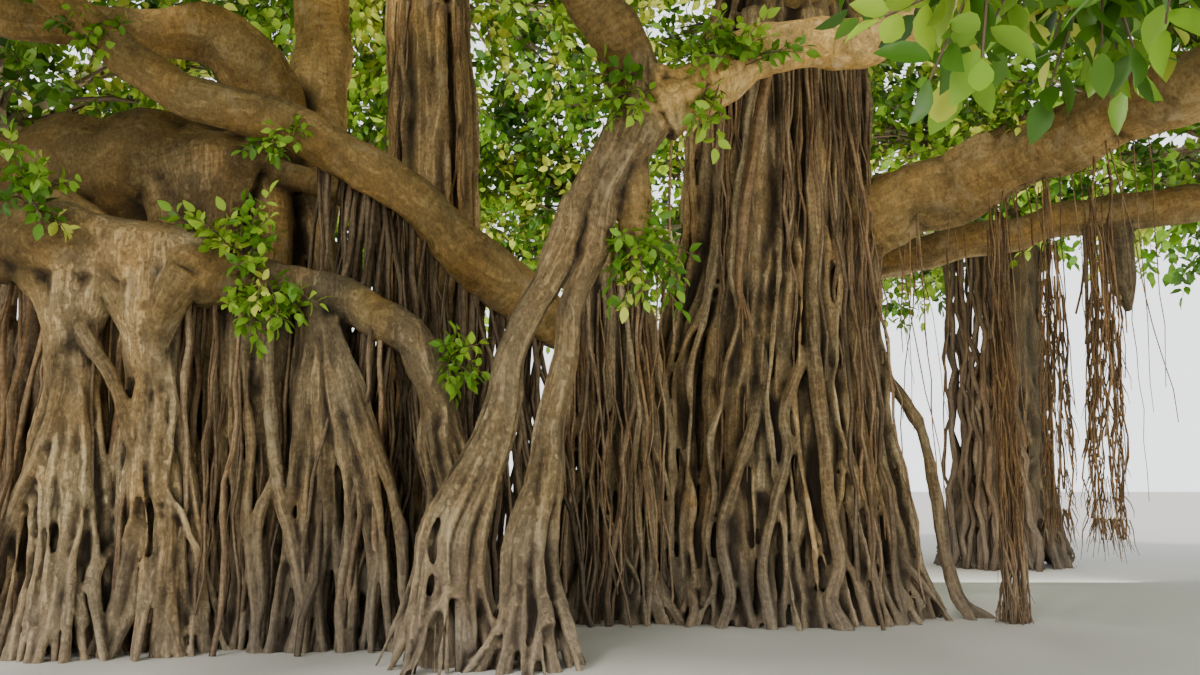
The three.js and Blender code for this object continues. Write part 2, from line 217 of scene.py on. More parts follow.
@dataclass
class Skin:
    """Vertices and faces gathered for one mesh, with a finish number for each face."""

    vertices: list = field(default_factory=list)
    quads: list = field(default_factory=list)
    triangles: list = field(default_factory=list)
    quad_finish: list = field(default_factory=list)
    triangle_finish: list = field(default_factory=list)
    grain: list = field(default_factory=list)
    tone: list = field(default_factory=list)
    count: int = 0

    def add(self, vertices: np.ndarray, quads: np.ndarray, triangles: np.ndarray,
            finish: int | np.ndarray = 0, grain: np.ndarray | None = None, tone: float = 0.4) -> None:
        """Adds a patch.

        Args:
            vertices: Rows of x, y, z.
            quads: Rows of four vertex numbers, or none.
            triangles: Rows of three vertex numbers, or none.
            finish: Finish number of every face, or one for each.
            grain: Place of each vertex in the limb's own directions; its own place if none.
            tone: How warm the patch is.
        """
        self.vertices.append(vertices)
        self.grain.append(vertices if grain is None else grain)
        self.tone.append(np.full(len(vertices), tone))
        for faces, store, marks in ((quads, self.quads, self.quad_finish),
                                    (triangles, self.triangles, self.triangle_finish)):
            if len(faces):
                store.append(np.asarray(faces) + self.count)
                marks.append(np.full(len(faces), finish))
        self.count += len(vertices)

    def tubes(self, paths: np.ndarray, radii: np.ndarray, sides: int, root_end: bool = True,
              tone: float = 0.4) -> None:
        """Adds tubes of equal point count.

        Args:
            paths: Centre lines as (tube, point, xyz).
            radii: Radius at each point, as (tube, point).
            sides: Sides of each ring.
            root_end: Closes the first end too, which otherwise lies inside another limb.
            tone: How warm the tubes are; under zero it paints shade on them, greyer and darker,
            where others keep the light off them, and darker still under minus one, in deep shade.
        """
        many, steps = radii.shape
        _, across, over = ring_frames(paths)
        turn = np.arange(sides) / sides * TAU
        wheel = (across[:, :, None, :] * np.cos(turn)[None, None, :, None]
                 + over[:, :, None, :] * np.sin(turn)[None, None, :, None])
        rings = paths[:, :, None, :] + wheel * radii[:, :, None, None]
        quads, root, tip = tube_faces(many, steps, sides)
        caps = np.concatenate([root, tip]) if root_end else tip
        vertices = np.concatenate([rings.reshape(many, -1, 3), paths[:, [0, -1]]], axis=1).reshape(-1, 3)
        run = run_along(paths) + GRAIN_SHIFT * (self.count % 97 + np.arange(many))[:, None]
        round_the = np.stack(np.broadcast_arrays(
            np.cos(turn) * radii[:, :, None], np.sin(turn) * radii[:, :, None], run[:, :, None]), axis=-1)
        tips = np.stack([np.zeros((many, 2))] * 2 + [run[:, [0, -1]]], axis=-1)
        grain = np.concatenate([round_the.reshape(many, -1, 3), tips], axis=1).reshape(-1, 3)
        self.add(vertices, quads, caps, grain=grain, tone=tone)

    def mesh(self, name: str) -> bpy.types.Mesh:
        """The gathered patches as one mesh.

        Args:
            name: Name of the mesh.

        Returns:
            The mesh, with finish numbers set.
        """
        mesh = bpy.data.meshes.new(name)
        vertices = np.concatenate(self.vertices).astype(np.float32)
        quads = np.concatenate([np.zeros((0, 4), int), *self.quads])
        triangles = np.concatenate([np.zeros((0, 3), int), *self.triangles])
        marks = np.concatenate([*self.quad_finish, *self.triangle_finish])
        corners = np.concatenate([quads.ravel(), triangles.ravel()]).astype(np.int32)
        starts = np.concatenate([np.arange(len(quads)) * 4,
                                 len(quads) * 4 + np.arange(len(triangles)) * 3])
        mesh.vertices.add(len(vertices))
        mesh.vertices.foreach_set("co", vertices.ravel())
        mesh.loops.add(len(corners))
        mesh.loops.foreach_set("vertex_index", corners)
        mesh.polygons.add(len(starts))
        mesh.polygons.foreach_set("loop_start", starts.astype(np.int32))
        mesh.update(calc_edges=True)
        mesh.polygons.foreach_set("material_index", marks.astype(np.int32))
        return mesh

    def bark_mesh(self, name: str) -> bpy.types.Mesh:
        """The mesh, nothing of it under the ground, with the attributes that the bark finish reads."""
        for patch in self.vertices:
            patch[:, 2] = np.maximum(patch[:, 2], 0.0)
        mesh = self.mesh(name)
        tone = np.concatenate(self.tone)
        write(mesh, "grain", np.concatenate(self.grain))
        write(mesh, "tone", np.where(tone < -1, -1 - tone, tone))
        # Tones under zero paint shade: the lightness comes from a darker band, darkest under minus one
        depth = np.clip(np.ceil(-tone), 0, 2).astype(int)
        least, most = np.array([0.2, -0.08, -0.5])[depth], np.array([1.0, 0.42, 0.3])[depth]
        write(mesh, "shade", least + most * (tone * 37.7 % 1.0))
        return mesh


def write(mesh: bpy.types.Mesh, name: str, values: np.ndarray) -> None:
    """Stores one number, or one row of three, for each vertex.

    Args:
        mesh: The mesh.
        name: Name of the attribute.
        values: The numbers.
    """
    kind, slot = ("FLOAT", "value") if values.ndim == 1 else ("FLOAT_VECTOR", "vector")
    mesh.attributes.new(name, kind, "POINT").data.foreach_set(slot, values.astype(np.float32).ravel())


def place(mesh: bpy.types.Mesh, name: str, smooth: bool) -> bpy.types.Object:
    """Puts a mesh in the scene as a piece that rides on the tree.

    Args:
        mesh: The mesh.
        name: Piece name.
        smooth: Shades it smooth.

    Returns:
        The new object.
    """
    piece = bpy.data.objects.new(name, mesh)
    bpy.context.scene.collection.objects.link(piece)
    mesh.polygons.foreach_set("use_smooth", np.full(len(mesh.polygons), smooth))
    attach(piece, "root")
    return piece


def triangles_of(mesh: bpy.types.Mesh) -> int:
    """How many triangles the faces of a mesh come to."""
    return sum(len(face.vertices) - 2 for face in mesh.polygons)


def report(piece: bpy.types.Object) -> None:
    """Logs a piece's name and its count of triangles."""
    log.info("%s: %d triangles", piece.name, triangles_of(piece.data))


# Finishes


class Slot(Enum):
    """The record's material slots."""

    TRUNK = "trunk_bark"
    BOUGH = "bough_bark"
    ROOT = "root_bark"
    LEAF = "leaves"


class NodeSheet:
    """A small helper that lays out the nodes of one material."""

    def __init__(self, name: str) -> None:
        """Starts a material with a plain shader."""
        self.material = bpy.data.materials.new(name)
        self.material.use_nodes = True
        self.nodes = self.material.node_tree.nodes
        self.links = self.material.node_tree.links
        self.shader = self.nodes["Principled BSDF"]

    def add(self, kind: str, inputs: dict | None = None, **settings: object) -> bpy.types.Node:
        """Adds a node.

        Args:
            kind: Blender's name of the node type.
            inputs: Values or output sockets for its inputs, by name or number.
            **settings: Node properties.

        Returns:
            The node.
        """
        node = self.nodes.new(kind)
        for key, value in settings.items():
            setattr(node, key, value)
        for key, value in (inputs or {}).items():
            if isinstance(value, bpy.types.NodeSocket):
                self.links.new(value, node.inputs[key])
            else:
                node.inputs[key].default_value = value
        return node

    def noise(self, place_at: bpy.types.NodeSocket, stretch: tuple, detail: float,
              rough: float = 0.55) -> bpy.types.NodeSocket:
        """Noise on stretched coordinates.

        Args:
            place_at: Coordinates.
            stretch: Cells to the metre along each axis.
            detail: Octaves.
            rough: Share that each octave keeps.

        Returns:
            The noise's value socket.
        """
        scaled = self.add("ShaderNodeMapping", {"Vector": place_at, "Scale": stretch})
        node = self.add("ShaderNodeTexNoise", {"Vector": scaled.outputs[0], "Scale": 1.0,
                                               "Detail": detail, "Roughness": rough})
        return node.outputs["Fac"]

    def ramp(self, value: bpy.types.NodeSocket, stops: list) -> bpy.types.NodeSocket:
        """Colours by value.

        Args:
            value: Value from 0 to 1.
            stops: Rows of position and colour.

        Returns:
            The colour socket.
        """
        node = self.add("ShaderNodeValToRGB", {"Fac": value})
        marks = node.color_ramp.elements
        while len(marks) < len(stops):
            marks.new(0.5)
        for mark, (position, colour) in zip(marks, stops):
            mark.position = position
            mark.color = (*colour, 1)
        return node.outputs["Color"]

    def span(self, value: bpy.types.NodeSocket, low: float, high: float,
             start: float = 0.0, end: float = 1.0) -> bpy.types.NodeSocket:
        """Maps low to high onto start to end, held at both ends."""
        node = self.add("ShaderNodeMapRange", {"Value": value, "From Min": low, "From Max": high,
                                               "To Min": start, "To Max": end})
        return node.outputs["Result"]

    def reckon(self, kind: str, a: object, b: object) -> bpy.types.NodeSocket:
        """A math node of the given kind on two values."""
        return self.add("ShaderNodeMath", {0: a, 1: b}, operation=kind).outputs[0]

    def attribute(self, name: str, output: str) -> bpy.types.NodeSocket:
        """Reads a mesh attribute."""
        return self.add("ShaderNodeAttribute", attribute_name=name).outputs[output]

    def blend(self, streak: object, ring: object, speck: object, streaks: float,
              rings: float) -> bpy.types.NodeSocket:
        """Weighs streaks, rings and specks, whose shares come to one."""
        parts = ((streak, streaks), (ring, rings), (speck, 1 - streaks - rings))
        scaled = [self.reckon("MULTIPLY", value, share) for value, share in parts]
        return self.reckon("ADD", self.reckon("ADD", scaled[0], scaled[1]), scaled[2])

    def grey(self, value: bpy.types.NodeSocket) -> bpy.types.NodeSocket:
        """A value as a grey."""
        return self.add("ShaderNodeCombineXYZ", {0: value, 1: value, 2: value}).outputs[0]

    def times(self, colour: bpy.types.NodeSocket, by: object) -> bpy.types.NodeSocket:
        """A colour times another one, channel by channel."""
        return self.mix(1.0, colour, by, "MULTIPLY")

    def mix(self, share: object, a: object, b: object, blend: str = "MIX") -> bpy.types.NodeSocket:
        """Mixes two colours, a to b, by share."""
        a, b = ((*value, 1) if isinstance(value, tuple) else value for value in (a, b))
        node = self.add("ShaderNodeMix", {0: share, 6: a, 7: b}, data_type="RGBA", blend_type=blend)
        return node.outputs[2]


@dataclass(frozen=True)
class BarkFinish:
    """Bark: streaked and grey on roots, ringed and warm on boughs, with painted shade darkening its hollows.

    The fields from streaks to stains are cells to the metre of the noise that draws them.
    """

    name: str
    root_tones: tuple = ((0.032, 0.021, 0.010), (0.125, 0.092, 0.048), (0.31, 0.245, 0.14))
    bough_tones: tuple = ((0.055, 0.036, 0.014), (0.165, 0.121, 0.050), (0.30, 0.237, 0.112))
    warm: tuple = (1.18, 0.92, 0.55)
    foot: tuple = (0.132, 0.112, 0.093)
    # Near black of the painted shade in the hollows and crevices
    painted_crevice_shade: tuple = (0.010, 0.006, 0.0035)
    foot_height: float = 1.7
    foot_share: float = 0.55
    relief: float = 0.028
    fine_relief: float = 0.008
    rough: float = 0.82
    gleam: float = 0.25
    lift: tuple = (1.5, 1.5, 1.5)
    streaks: tuple = (22.0, 22.0, 1.6)
    rings: tuple = (5.0, 5.0, 17.0)
    patches: tuple = (1.5, 1.5, 1.1)
    specks: tuple = (34.0, 34.0, 22.0)
    pale_spots: tuple = (3.4, 3.4, 2.2)
    stains: tuple = (1.9, 1.9, 1.5)

    def make(self) -> bpy.types.Material:
        """Builds the material.

        Returns:
            The material, whose nodes read the attributes grain, tone, shade and bough, and one more that
            paints shade into the hollows.
        """
        sheet = NodeSheet(self.name)
        grain, where = sheet.attribute("grain", "Vector"), sheet.add("ShaderNodeTexCoord").outputs["Object"]
        tone, shade, bough, painted_crevice_shade = (sheet.attribute(name, "Fac")
                                      for name in ("tone", "shade", "bough", "painted_crevice_shade"))
        height = sheet.add("ShaderNodeSeparateXYZ", {0: where}).outputs["Z"]
        streak = sheet.noise(grain, self.streaks, 5.0, 0.62)
        ring = sheet.noise(grain, self.rings, 5.0, 0.68)
        patch = sheet.noise(where, self.patches, 4.0, 0.6)
        speck = sheet.noise(where, self.specks, 3.0, 0.6)
        root_lines = sheet.blend(streak, ring, speck, 0.55, 0.20)
        bough_lines = sheet.blend(streak, ring, speck, 0.25, 0.45)
        lines = sheet.add("ShaderNodeMix", {0: bough, 2: root_lines, 3: bough_lines}).outputs[0]
        base = sheet.mix(bough, sheet.ramp(root_lines, list(zip((0.33, 0.47, 0.62), self.root_tones))),
                         sheet.ramp(bough_lines, list(zip((0.32, 0.48, 0.66), self.bough_tones))))
        warmth = sheet.span(sheet.reckon("ADD", tone, sheet.span(patch, 0.3, 0.7, -0.35, 0.35)), 0.0, 1.0)
        tinted = sheet.mix(warmth, base, sheet.times(base, self.warm))
        pale = sheet.span(sheet.noise(where, self.pale_spots, 6.0, 0.7), 0.56, 0.68, 0.0, 0.5)
        tinted = sheet.mix(pale, tinted, self.root_tones[2])
        stain = sheet.span(sheet.noise(where, self.stains, 5.0, 0.68), 0.34, 0.5, 0.62, 1.0)
        # Each root's lightness: its own tone, and on roots set in shade also painted shade
        stain = sheet.reckon("MULTIPLY", stain, sheet.span(shade, -0.5, 2.75, 0.13, 2.015))
        tinted = sheet.times(tinted, sheet.grey(stain))
        low = sheet.span(height, 0.15, self.foot_height, self.foot_share, 0.0)
        dust = sheet.times(sheet.ramp(lines, [(0.30, (0.30,) * 3), (0.66, (1.35,) * 3)]), self.foot)
        # Painted shade: the dusty foot is darkened too on roots whose shade is below 0.1, those set in shade
        painted_foot_shade = sheet.span(shade, -0.5, 0.1, 0.35, 1.0)
        tinted = sheet.mix(low, tinted, sheet.times(dust, sheet.grey(painted_foot_shade)))
        tinted = sheet.times(tinted, self.lift)
        # Painted shade: the bark goes towards a near black in its hollows and crevices
        colour = sheet.mix(sheet.span(painted_crevice_shade, 0.0, 1.0, 0.0, 0.93), tinted, self.painted_crevice_shade)
        sheet.links.new(colour, sheet.shader.inputs["Base Color"])
        sheet.shader.inputs["Roughness"].default_value = self.rough
        sheet.shader.inputs["Specular IOR Level"].default_value = self.gleam
        bump = sheet.add("ShaderNodeBump", {"Strength": 0.75, "Distance": self.relief, "Height": lines})
        fine = sheet.add("ShaderNodeBump", {"Strength": 0.4, "Distance": self.fine_relief,
                                            "Height": speck, "Normal": bump.outputs[0]})
        sheet.links.new(fine.outputs[0], sheet.shader.inputs["Normal"])
        return sheet.material


@dataclass(frozen=True)
class PlainFinish:
    """One plain opaque colour with its gloss, for leaves and twigs."""

    name: str
    colour: tuple
    rough: float = 0.5
    gleam: float = 0.3

    def make(self) -> bpy.types.Material:
        """Builds the material."""
        sheet = NodeSheet(self.name)
        sheet.shader.inputs["Base Color"].default_value = (*self.colour, 1)
        sheet.shader.inputs["Roughness"].default_value = self.rough
        sheet.shader.inputs["Specular IOR Level"].default_value = self.gleam
        return sheet.material


@dataclass(frozen=True)
class FloorFinish:
    """A plain pale floor with the faintest mottling."""

    name: str = "studio_floor"
    colour: tuple = (0.72, 0.70, 0.67)
    mottling: float = 0.94
    rough: float = 0.9

    def make(self) -> bpy.types.Material:
        """Builds the material."""
        sheet = NodeSheet(self.name)
        where = sheet.add("ShaderNodeTexCoord").outputs["Object"]
        cloud = sheet.noise(where, (0.2, 0.2, 0.2), 2.0)
        shade = sheet.mix(cloud, self.colour, tuple(self.mottling * part for part in self.colour))
        sheet.links.new(shade, sheet.shader.inputs["Base Color"])
        sheet.shader.inputs["Roughness"].default_value = self.rough
        return sheet.material


def made(finish: PlainFinish) -> bpy.types.Material:
    """The material of a finish, which is built only once."""
    return bpy.data.materials.get(finish.name) or finish.make()


def put_together(skin: Skin, name: str, finishes: tuple, smooth: bool = True) -> bpy.types.Object:
    """Makes a piece of leaves or twigs.

    Args:
        skin: Its patches.
        name: Piece name.
        finishes: Its finishes, in the order of their numbers.
        smooth: Shades it smooth.

    Returns:
        The new object.
    """
    piece = place(skin.mesh(name), name, smooth)
    for finish in finishes:
        piece.data.materials.append(made(finish))
    return piece


TRUNK_BARK = BarkFinish("trunk_bark")
BOUGH_BARK = BarkFinish("bough_bark")
ROOT_BARK = BarkFinish("root_bark", root_tones=((0.035, 0.020, 0.010), (0.125, 0.083, 0.046),
                                                (0.30, 0.225, 0.13)), warm=(1.12, 0.92, 0.68),
                       foot_share=0.35, relief=0.012)
# Leaf greens, partly the leaves' own range and partly painted light: bright and pale greens stand for sun
# shining through leaves, deep ones for leaves in shade
GREENS = (
    PlainFinish("leaf_deep", (0.028, 0.085, 0.006), 0.42),
    PlainFinish("leaf_dark", (0.056, 0.150, 0.010), 0.42),
    PlainFinish("leaf_mid", (0.105, 0.245, 0.015), 0.45),
    PlainFinish("leaf_fresh", (0.190, 0.360, 0.022), 0.48),
    PlainFinish("leaf_bright", (0.320, 0.490, 0.035), 0.5),
    PlainFinish("leaf_pale", (0.540, 0.600, 0.080), 0.5),
)
TWIG = PlainFinish("twig_brown", (0.17, 0.115, 0.07), 0.8)


# Roots and boughs


@dataclass
class Strand:
    """One root or limb: its centre line, its radii, and how warm and how light its bark is; on some, a low
    lightness is painted shade.
    """

    path: np.ndarray
    radii: np.ndarray
    tone: float
    limb: float
    shade: float


def strand(knots: list, tone: float, limb: float, shade: float) -> Strand:
    """A strand through rows of x, y, z and radius."""
    return Strand(*spline(knots, RING_STEP), tone, limb, shade)


@dataclass
class RootBundle:
    """An upright limb of many roots that run down it, fused above and apart below.

    Levels are rows of height, x, y, half width and half depth. Pairs of radii and of shares of the width
    are for the top and the foot, other pairs are least and greatest.

    Attributes:
        wander, meander: How far a root strays round the limb, and over what height.
        core: How much of the width the solid middle fills.
        split, toes, spread: Mean height of a root's end, its count of toes and how far they reach.
        over, over_thick, over_lift, over_out: Roots that lie over the others: how many, their radii, how
            much lighter they are and by how many radii they stand out.
        cleft: Direction, half angle and least height of a dent in one side.
        into, dome: How far the roots run on above the top, and the height over which they close there.
        bury, jut: By how many radii a root is sunk in, and how much that varies.
        calm: Height above which the roots sink into an even surface.
    """

    levels: list
    count: int
    thick: tuple
    seed: int
    wander: float = 0.25
    core: tuple = (0.8, 0.5)
    split: float = 0.55
    toes: tuple = (1, 3)
    spread: float = 0.35
    over: int = 0
    over_thick: tuple = (0.025, 0.06)
    tone: tuple = (0.1, 0.5)
    shade: tuple = (0.0, 1.0)
    over_lift: float = 0.0
    over_out: float = 0.25
    cleft: tuple = ()
    into: float = 0.3
    bury: float = 0.75
    jut: float = 0.45
    meander: float = 3.0
    dome: float = 0.0
    calm: float = 99.0

    def strands(self) -> list:
        """Grows the bundle's roots.

        Returns:
            The roots as strands, toes included.
        """
        rng = np.random.default_rng(self.seed)
        found = []
        levels = np.array(self.levels, float)
        for number in range(self.count + self.over):
            second = number >= self.count
            home = TAU * (number + rng.uniform(-0.35, 0.35)) / (self.over if second else self.count)
            found += self._root(rng, levels, home, second)
        return found

    def _root(self, rng: np.random.Generator, levels: np.ndarray, home: float,
              second: bool) -> list:
        """One root from the top of the bundle to the ground, with its toes."""
        top = levels[-1, 0]
        foot = self.split * rng.uniform(0.2, 1.7)
        steps = max(6, int((top + self.into - foot) / RING_STEP))
        z = np.linspace(top + self.into, foot, steps)
        middle = eased(levels, z)
        loose = np.clip(1.25 - z / top, 0.15, 1.0)
        reach = self.wander * rng.choice((0.6, 1.0, 2.6), p=(0.45, 0.38, 0.17))
        angle = home + reach * loose * wave(rng, z, self.meander) + 0.3 * reach * wave(rng, z, 7.0)
        if second:
            thick = rng.uniform(*self.over_thick) * np.ones(steps)
            bury = -rng.uniform(0.25, self.over_out)
        else:
            share = np.clip(z / top, 0, 1) ** 0.8
            thick = (self.thick[1] + (self.thick[0] - self.thick[1]) * share) * rng.uniform(0.55, 1.45)
            bury = self.bury + self.jut * rng.uniform(-1, 1)
        bury = bury + (1.1 + self.over_out * second) * np.clip((z - self.calm) / 0.8, 0, 1)
        if self.cleft:
            at, half, low = self.cleft
            aside = (angle - at + math.pi) % TAU - math.pi
            bury = bury + 0.28 / thick * np.exp(-(aside / half) ** 4) * np.clip((z - low) / 0.6, 0, 1)
        thick = thick * (1 + 0.16 * wave(rng, z, 1.3))
        close = self._closing(z, top)
        x = middle[:, 0] + (middle[:, 2] - bury * thick) * close * np.cos(angle)
        y = middle[:, 1] + (middle[:, 3] - bury * thick) * close * np.sin(angle)
        path = np.stack([x, y, z], axis=1)
        tone, shade = rng.uniform(*self.tone), rng.uniform(*self.shade) + self.over_lift * second
        found = [Strand(path, thick, tone, 0.0, shade)]
        outward = np.array([math.cos(angle[-1]), math.sin(angle[-1]), 0.0])
        sideways = np.array([-outward[1], outward[0], 0.0])
        toes = 1 if second else rng.integers(self.toes[0], self.toes[1] + 1)
        for toe in range(toes):
            fan = (toe - (toes - 1) / 2) * rng.uniform(0.4, 1.0) + rng.uniform(-0.4, 0.4)
            toe_path, toe_radii = self._toe(rng, path[-2:], thick[-1], outward, sideways * fan)
            found.append(Strand(toe_path, toe_radii, tone, 0.0, shade))
        return found

    def _closing(self, z: np.ndarray, top: float) -> np.ndarray:
        """Share of the width left at each height, where the bundle's top is domed."""
        if not self.dome:
            return np.ones(len(z))
        over = np.clip((z - (top - self.dome)) / (self.dome + self.into), 0, 1)
        return np.sqrt(np.maximum(1 - over * over, 0.01))

    def _toe(self, rng: np.random.Generator, tail: np.ndarray, thick: float, outward: np.ndarray,
             sideways: np.ndarray) -> tuple[np.ndarray, np.ndarray]:
        """A toe that leaves a root's end, bends outwards and goes into the ground."""
        t = np.linspace(0, 1, 9)
        start = tail[0]
        reach = self.spread * rng.uniform(0.3, 1.0 + 0.5 * (rng.uniform() < 0.2)) * min(1, start[2] * 1.6)
        flow = reach * t ** 1.5
        path = start + outward * flow[:, None] + sideways * (reach * t)[:, None]
        path = path + sideways * (0.12 * reach * np.sin(TAU * (t + rng.uniform())) * t)[:, None]
        path[:, 2] = start[2] * (1 - t ** 1.15) - 0.05 * t
        radii = thick * np.linspace(rng.uniform(0.75, 0.95), rng.uniform(0.4, 0.6), len(t))
        return path, np.maximum(radii, 0.03)

    def fill(self, skin: Skin) -> None:
        """Adds the solid middle, which closes the bundle behind its roots, as an oval tube."""
        levels = np.array(self.levels, float)
        z = np.linspace(levels[-1, 0] + self.into * 0.5, -0.05, 24)
        middle = eased(levels, z)
        risen = np.clip(z / min(self.calm, levels[-1, 0]), 0, 1)
        share = (self.core[1] + (self.core[0] - self.core[1]) * risen) * self._closing(z, levels[-1, 0])
        turn = np.arange(28) / 28 * TAU
        rings = np.stack([
            middle[:, 0:1] + middle[:, 2:3] * share[:, None] * np.cos(turn)[None, :],
            middle[:, 1:2] + middle[:, 3:4] * share[:, None] * np.sin(turn)[None, :],
            np.repeat(z[:, None], len(turn), axis=1)], axis=-1)
        ends = [[*middle[end, :2], z[end]] for end in (0, -1)]
        quads, top, low = tube_faces(1, *rings.shape[:2])
        # These rings run the other way round, so that the faces are turned over
        skin.add(np.vstack([rings.reshape(-1, 3), ends]), quads[:, [1, 0, 3, 2]],
                 np.concatenate([top, low])[:, [1, 0, 2]])


def spread_out(values: np.ndarray, mesh: bpy.types.Mesh, rounds: int) -> np.ndarray:
    """Averages values with those of the neighbouring vertices.

    Args:
        values: One row for each vertex.
        mesh: The mesh.
        rounds: How many times.

    Returns:
        The averaged values.
    """
    ends = np.zeros(len(mesh.edges) * 2, np.int32)
    mesh.edges.foreach_get("vertices", ends)
    a, b, size = ends[::2], ends[1::2], len(mesh.vertices)
    count = np.bincount(ends, minlength=size)
    values = values.reshape(size, -1).copy()
    for _ in range(rounds):
        for column in range(values.shape[1]):
            line = values[:, column]
            total = np.bincount(a, line[b], size) + np.bincount(b, line[a], size)
            values[:, column] = 0.3 * line + 0.7 * total / np.maximum(count, 1)
    return values


def rows_of(entries: bpy.types.bpy_prop_collection, name: str) -> np.ndarray:
    """Three numbers of each entry of a mesh, such as a vertex's place, as rows."""
    out = np.zeros(len(entries) * 3, np.float32)
    entries.foreach_get(name, out)
    return out.reshape(-1, 3).astype(float)


def set_down(mesh: bpy.types.Mesh, spots: np.ndarray) -> None:
    """Moves the vertices to spots, none of them under the ground."""
    spots[:, 2] = np.maximum(spots[:, 2], 0.0)
    mesh.vertices.foreach_set("co", spots.astype(np.float32).ravel())


def dots(a: np.ndarray, b: np.ndarray) -> np.ndarray:
    """Dot product of each row of a with that of b."""
    return np.einsum("ij,ij->i", a, b)


def worked(mesh: bpy.types.Mesh, *steps: tuple) -> bpy.types.Mesh:
    """A mesh put through some of Blender's modifiers.

    Args:
        mesh: The mesh, which is used up.
        *steps: Kind and settings of each modifier.

    Returns:
        The new mesh, under the old one's name.
    """
    name = mesh.name
    holder = bpy.data.objects.new(name, mesh)
    bpy.context.scene.collection.objects.link(holder)
    for kind, settings in steps:
        step = holder.modifiers.new(kind, kind)
        for key, value in settings.items():
            setattr(step, key, value)
    view = holder.evaluated_get(bpy.context.evaluated_depsgraph_get())
    result = bpy.data.meshes.new_from_object(view)
    bpy.data.objects.remove(holder)
    bpy.data.meshes.remove(mesh)
    result.name = name
    return result


@dataclass
class FusedBark:
    """One piece of bark: strands and bundles grown together, then given their relief.

    Attributes:
        nodes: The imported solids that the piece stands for.
        voxel, smoothing: Cell size at which the tubes fuse, and rounds of smoothing after it.
        budget: Most triangles.
        sides: Sides of a tube.
        even_above: Height above which the streaks fade.
        relief, lumps: Depth of the streaks and of the lumps.
    """

    name: str
    slot: Slot
    finish: bpy.types.Material
    nodes: tuple
    voxel: float
    budget: int
    bundles: list
    strands: list
    sides: int = 12
    even_above: float = 99.0
    relief: float = 0.012
    lumps: float = 0.02
    smoothing: int = 2

    def build(self) -> None:
        """Makes the piece."""
        strands = list(self.strands)
        skin = Skin()
        for bundle in self.bundles:
            strands += bundle.strands()
            bundle.fill(skin)
        for one in strands:
            skin.tubes(one.path[None], one.radii[None], self.sides)
        mesh = self._relieved(self._fused(skin))
        piece = place(mesh, self.name, smooth=True)
        self._mark(mesh, strands)
        mesh.materials.clear()
        mesh.materials.append(self.finish)
        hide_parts(*self.nodes)
        report(piece)

    def _fused(self, skin: Skin) -> bpy.types.Mesh:
        """Grows the overlapping tubes into one skin."""
        return worked(skin.mesh(self.name), ("REMESH", {"mode": "VOXEL", "voxel_size": self.voxel}),
                      ("SMOOTH", {"factor": 0.5, "iterations": self.smoothing}))

    def _relieved(self, mesh: bpy.types.Mesh) -> bpy.types.Mesh:
        """Gives the skin its lumps and streaks, flattens its feet on the ground and thins it."""
        spots, normal = rows_of(mesh.vertices, "co"), rows_of(mesh.vertex_normals, "vector")
        upright = np.clip((0.75 - np.abs(normal[:, 2])) / 0.3, 0, 1)
        upright = upright * np.clip(1 - (spots[:, 2] - self.even_above) / 0.4, 0.2, 1)
        streak = lattice_noise(spots * np.array([13.0, 13.0, 1.6]), 3)
        cross = lattice_noise(spots * np.array([6.0, 6.0, 11.0]), 4)
        lump = lattice_noise(spots * 2.3, 5) + 0.5 * lattice_noise(spots * 5.1, 6)
        push = (self.relief * (upright * streak + (1 - upright) * cross * 0.6)
                + self.relief * 0.35 * cross + self.lumps * lump)
        set_down(mesh, spots + normal * push[:, None])
        mesh.update()
        self._open_underside(mesh)
        thinned = worked(mesh, ("DECIMATE", {"ratio": min(1.0, self.budget / triangles_of(mesh))}))
        set_down(thinned, rows_of(thinned.vertices, "co"))
        return thinned

    def _open_underside(self, mesh: bpy.types.Mesh) -> None:
        """Drops the faces that lie flat on the ground."""
        work = bmesh.new()
        work.from_mesh(mesh)
        flat = [face for face in work.faces if all(corner.co.z < ON_GROUND for corner in face.verts)]
        bmesh.ops.delete(work, geom=flat, context="FACES")
        work.to_mesh(mesh)
        work.free()

    def _mark(self, mesh: bpy.types.Mesh, strands: list) -> None:
        """Writes the attributes that the finish reads."""
        spots, normal = rows_of(mesh.vertices, "co"), rows_of(mesh.vertex_normals, "vector")
        centre = np.concatenate([one.path for one in strands])
        radius = np.concatenate([one.radii for one in strands])
        frames = [ring_frames(one.path[None]) for one in strands]
        tangent, across, over = (np.concatenate([f[k][0] for f in frames]) for k in range(3))
        run = np.concatenate([GRAIN_SHIFT * n + run_along(one.path) for n, one in enumerate(strands)])
        tree = KDTree(len(centre))
        for n, spot in enumerate(centre):
            tree.insert(spot, n)
        tree.balance()
        near = np.zeros(len(spots), int)
        for n, spot in enumerate(spots):
            near[n] = min((gap - radius[k], k) for _, k, gap in tree.find_n(spot, 3))[1]
        offset = spots - centre[near]
        write(mesh, "grain", np.stack([dots(offset, across[near]), dots(offset, over[near]),
                                       run[near] + dots(offset, tangent[near])], axis=1))
        for name, kind, rounds in (("tone", "tone", 3), ("shade", "shade", 2), ("bough", "limb", 6)):
            values = np.concatenate([np.full(len(one.radii), getattr(one, kind)) for one in strands])
            write(mesh, name, spread_out(values[near], mesh, rounds)[:, 0])
        # Painted shade: how deep each vertex lies in a hollow, which the finish darkens
        near_mean = spread_out(spots, mesh, 5)
        wide_mean = spread_out(near_mean, mesh, 16)
        dip, bowl = dots(near_mean - spots, normal), dots(wide_mean - spots, normal)
        painted_crevice_shade = np.clip(dip / (0.45 * self.voxel) + bowl / (1.6 * self.voxel), 0, 1)
        write(mesh, "painted_crevice_shade", spread_out(painted_crevice_shade, mesh, 1)[:, 0])


# Where the limbs run: uprights as height, x, y, half width, half depth; boughs as x, y, z, radius

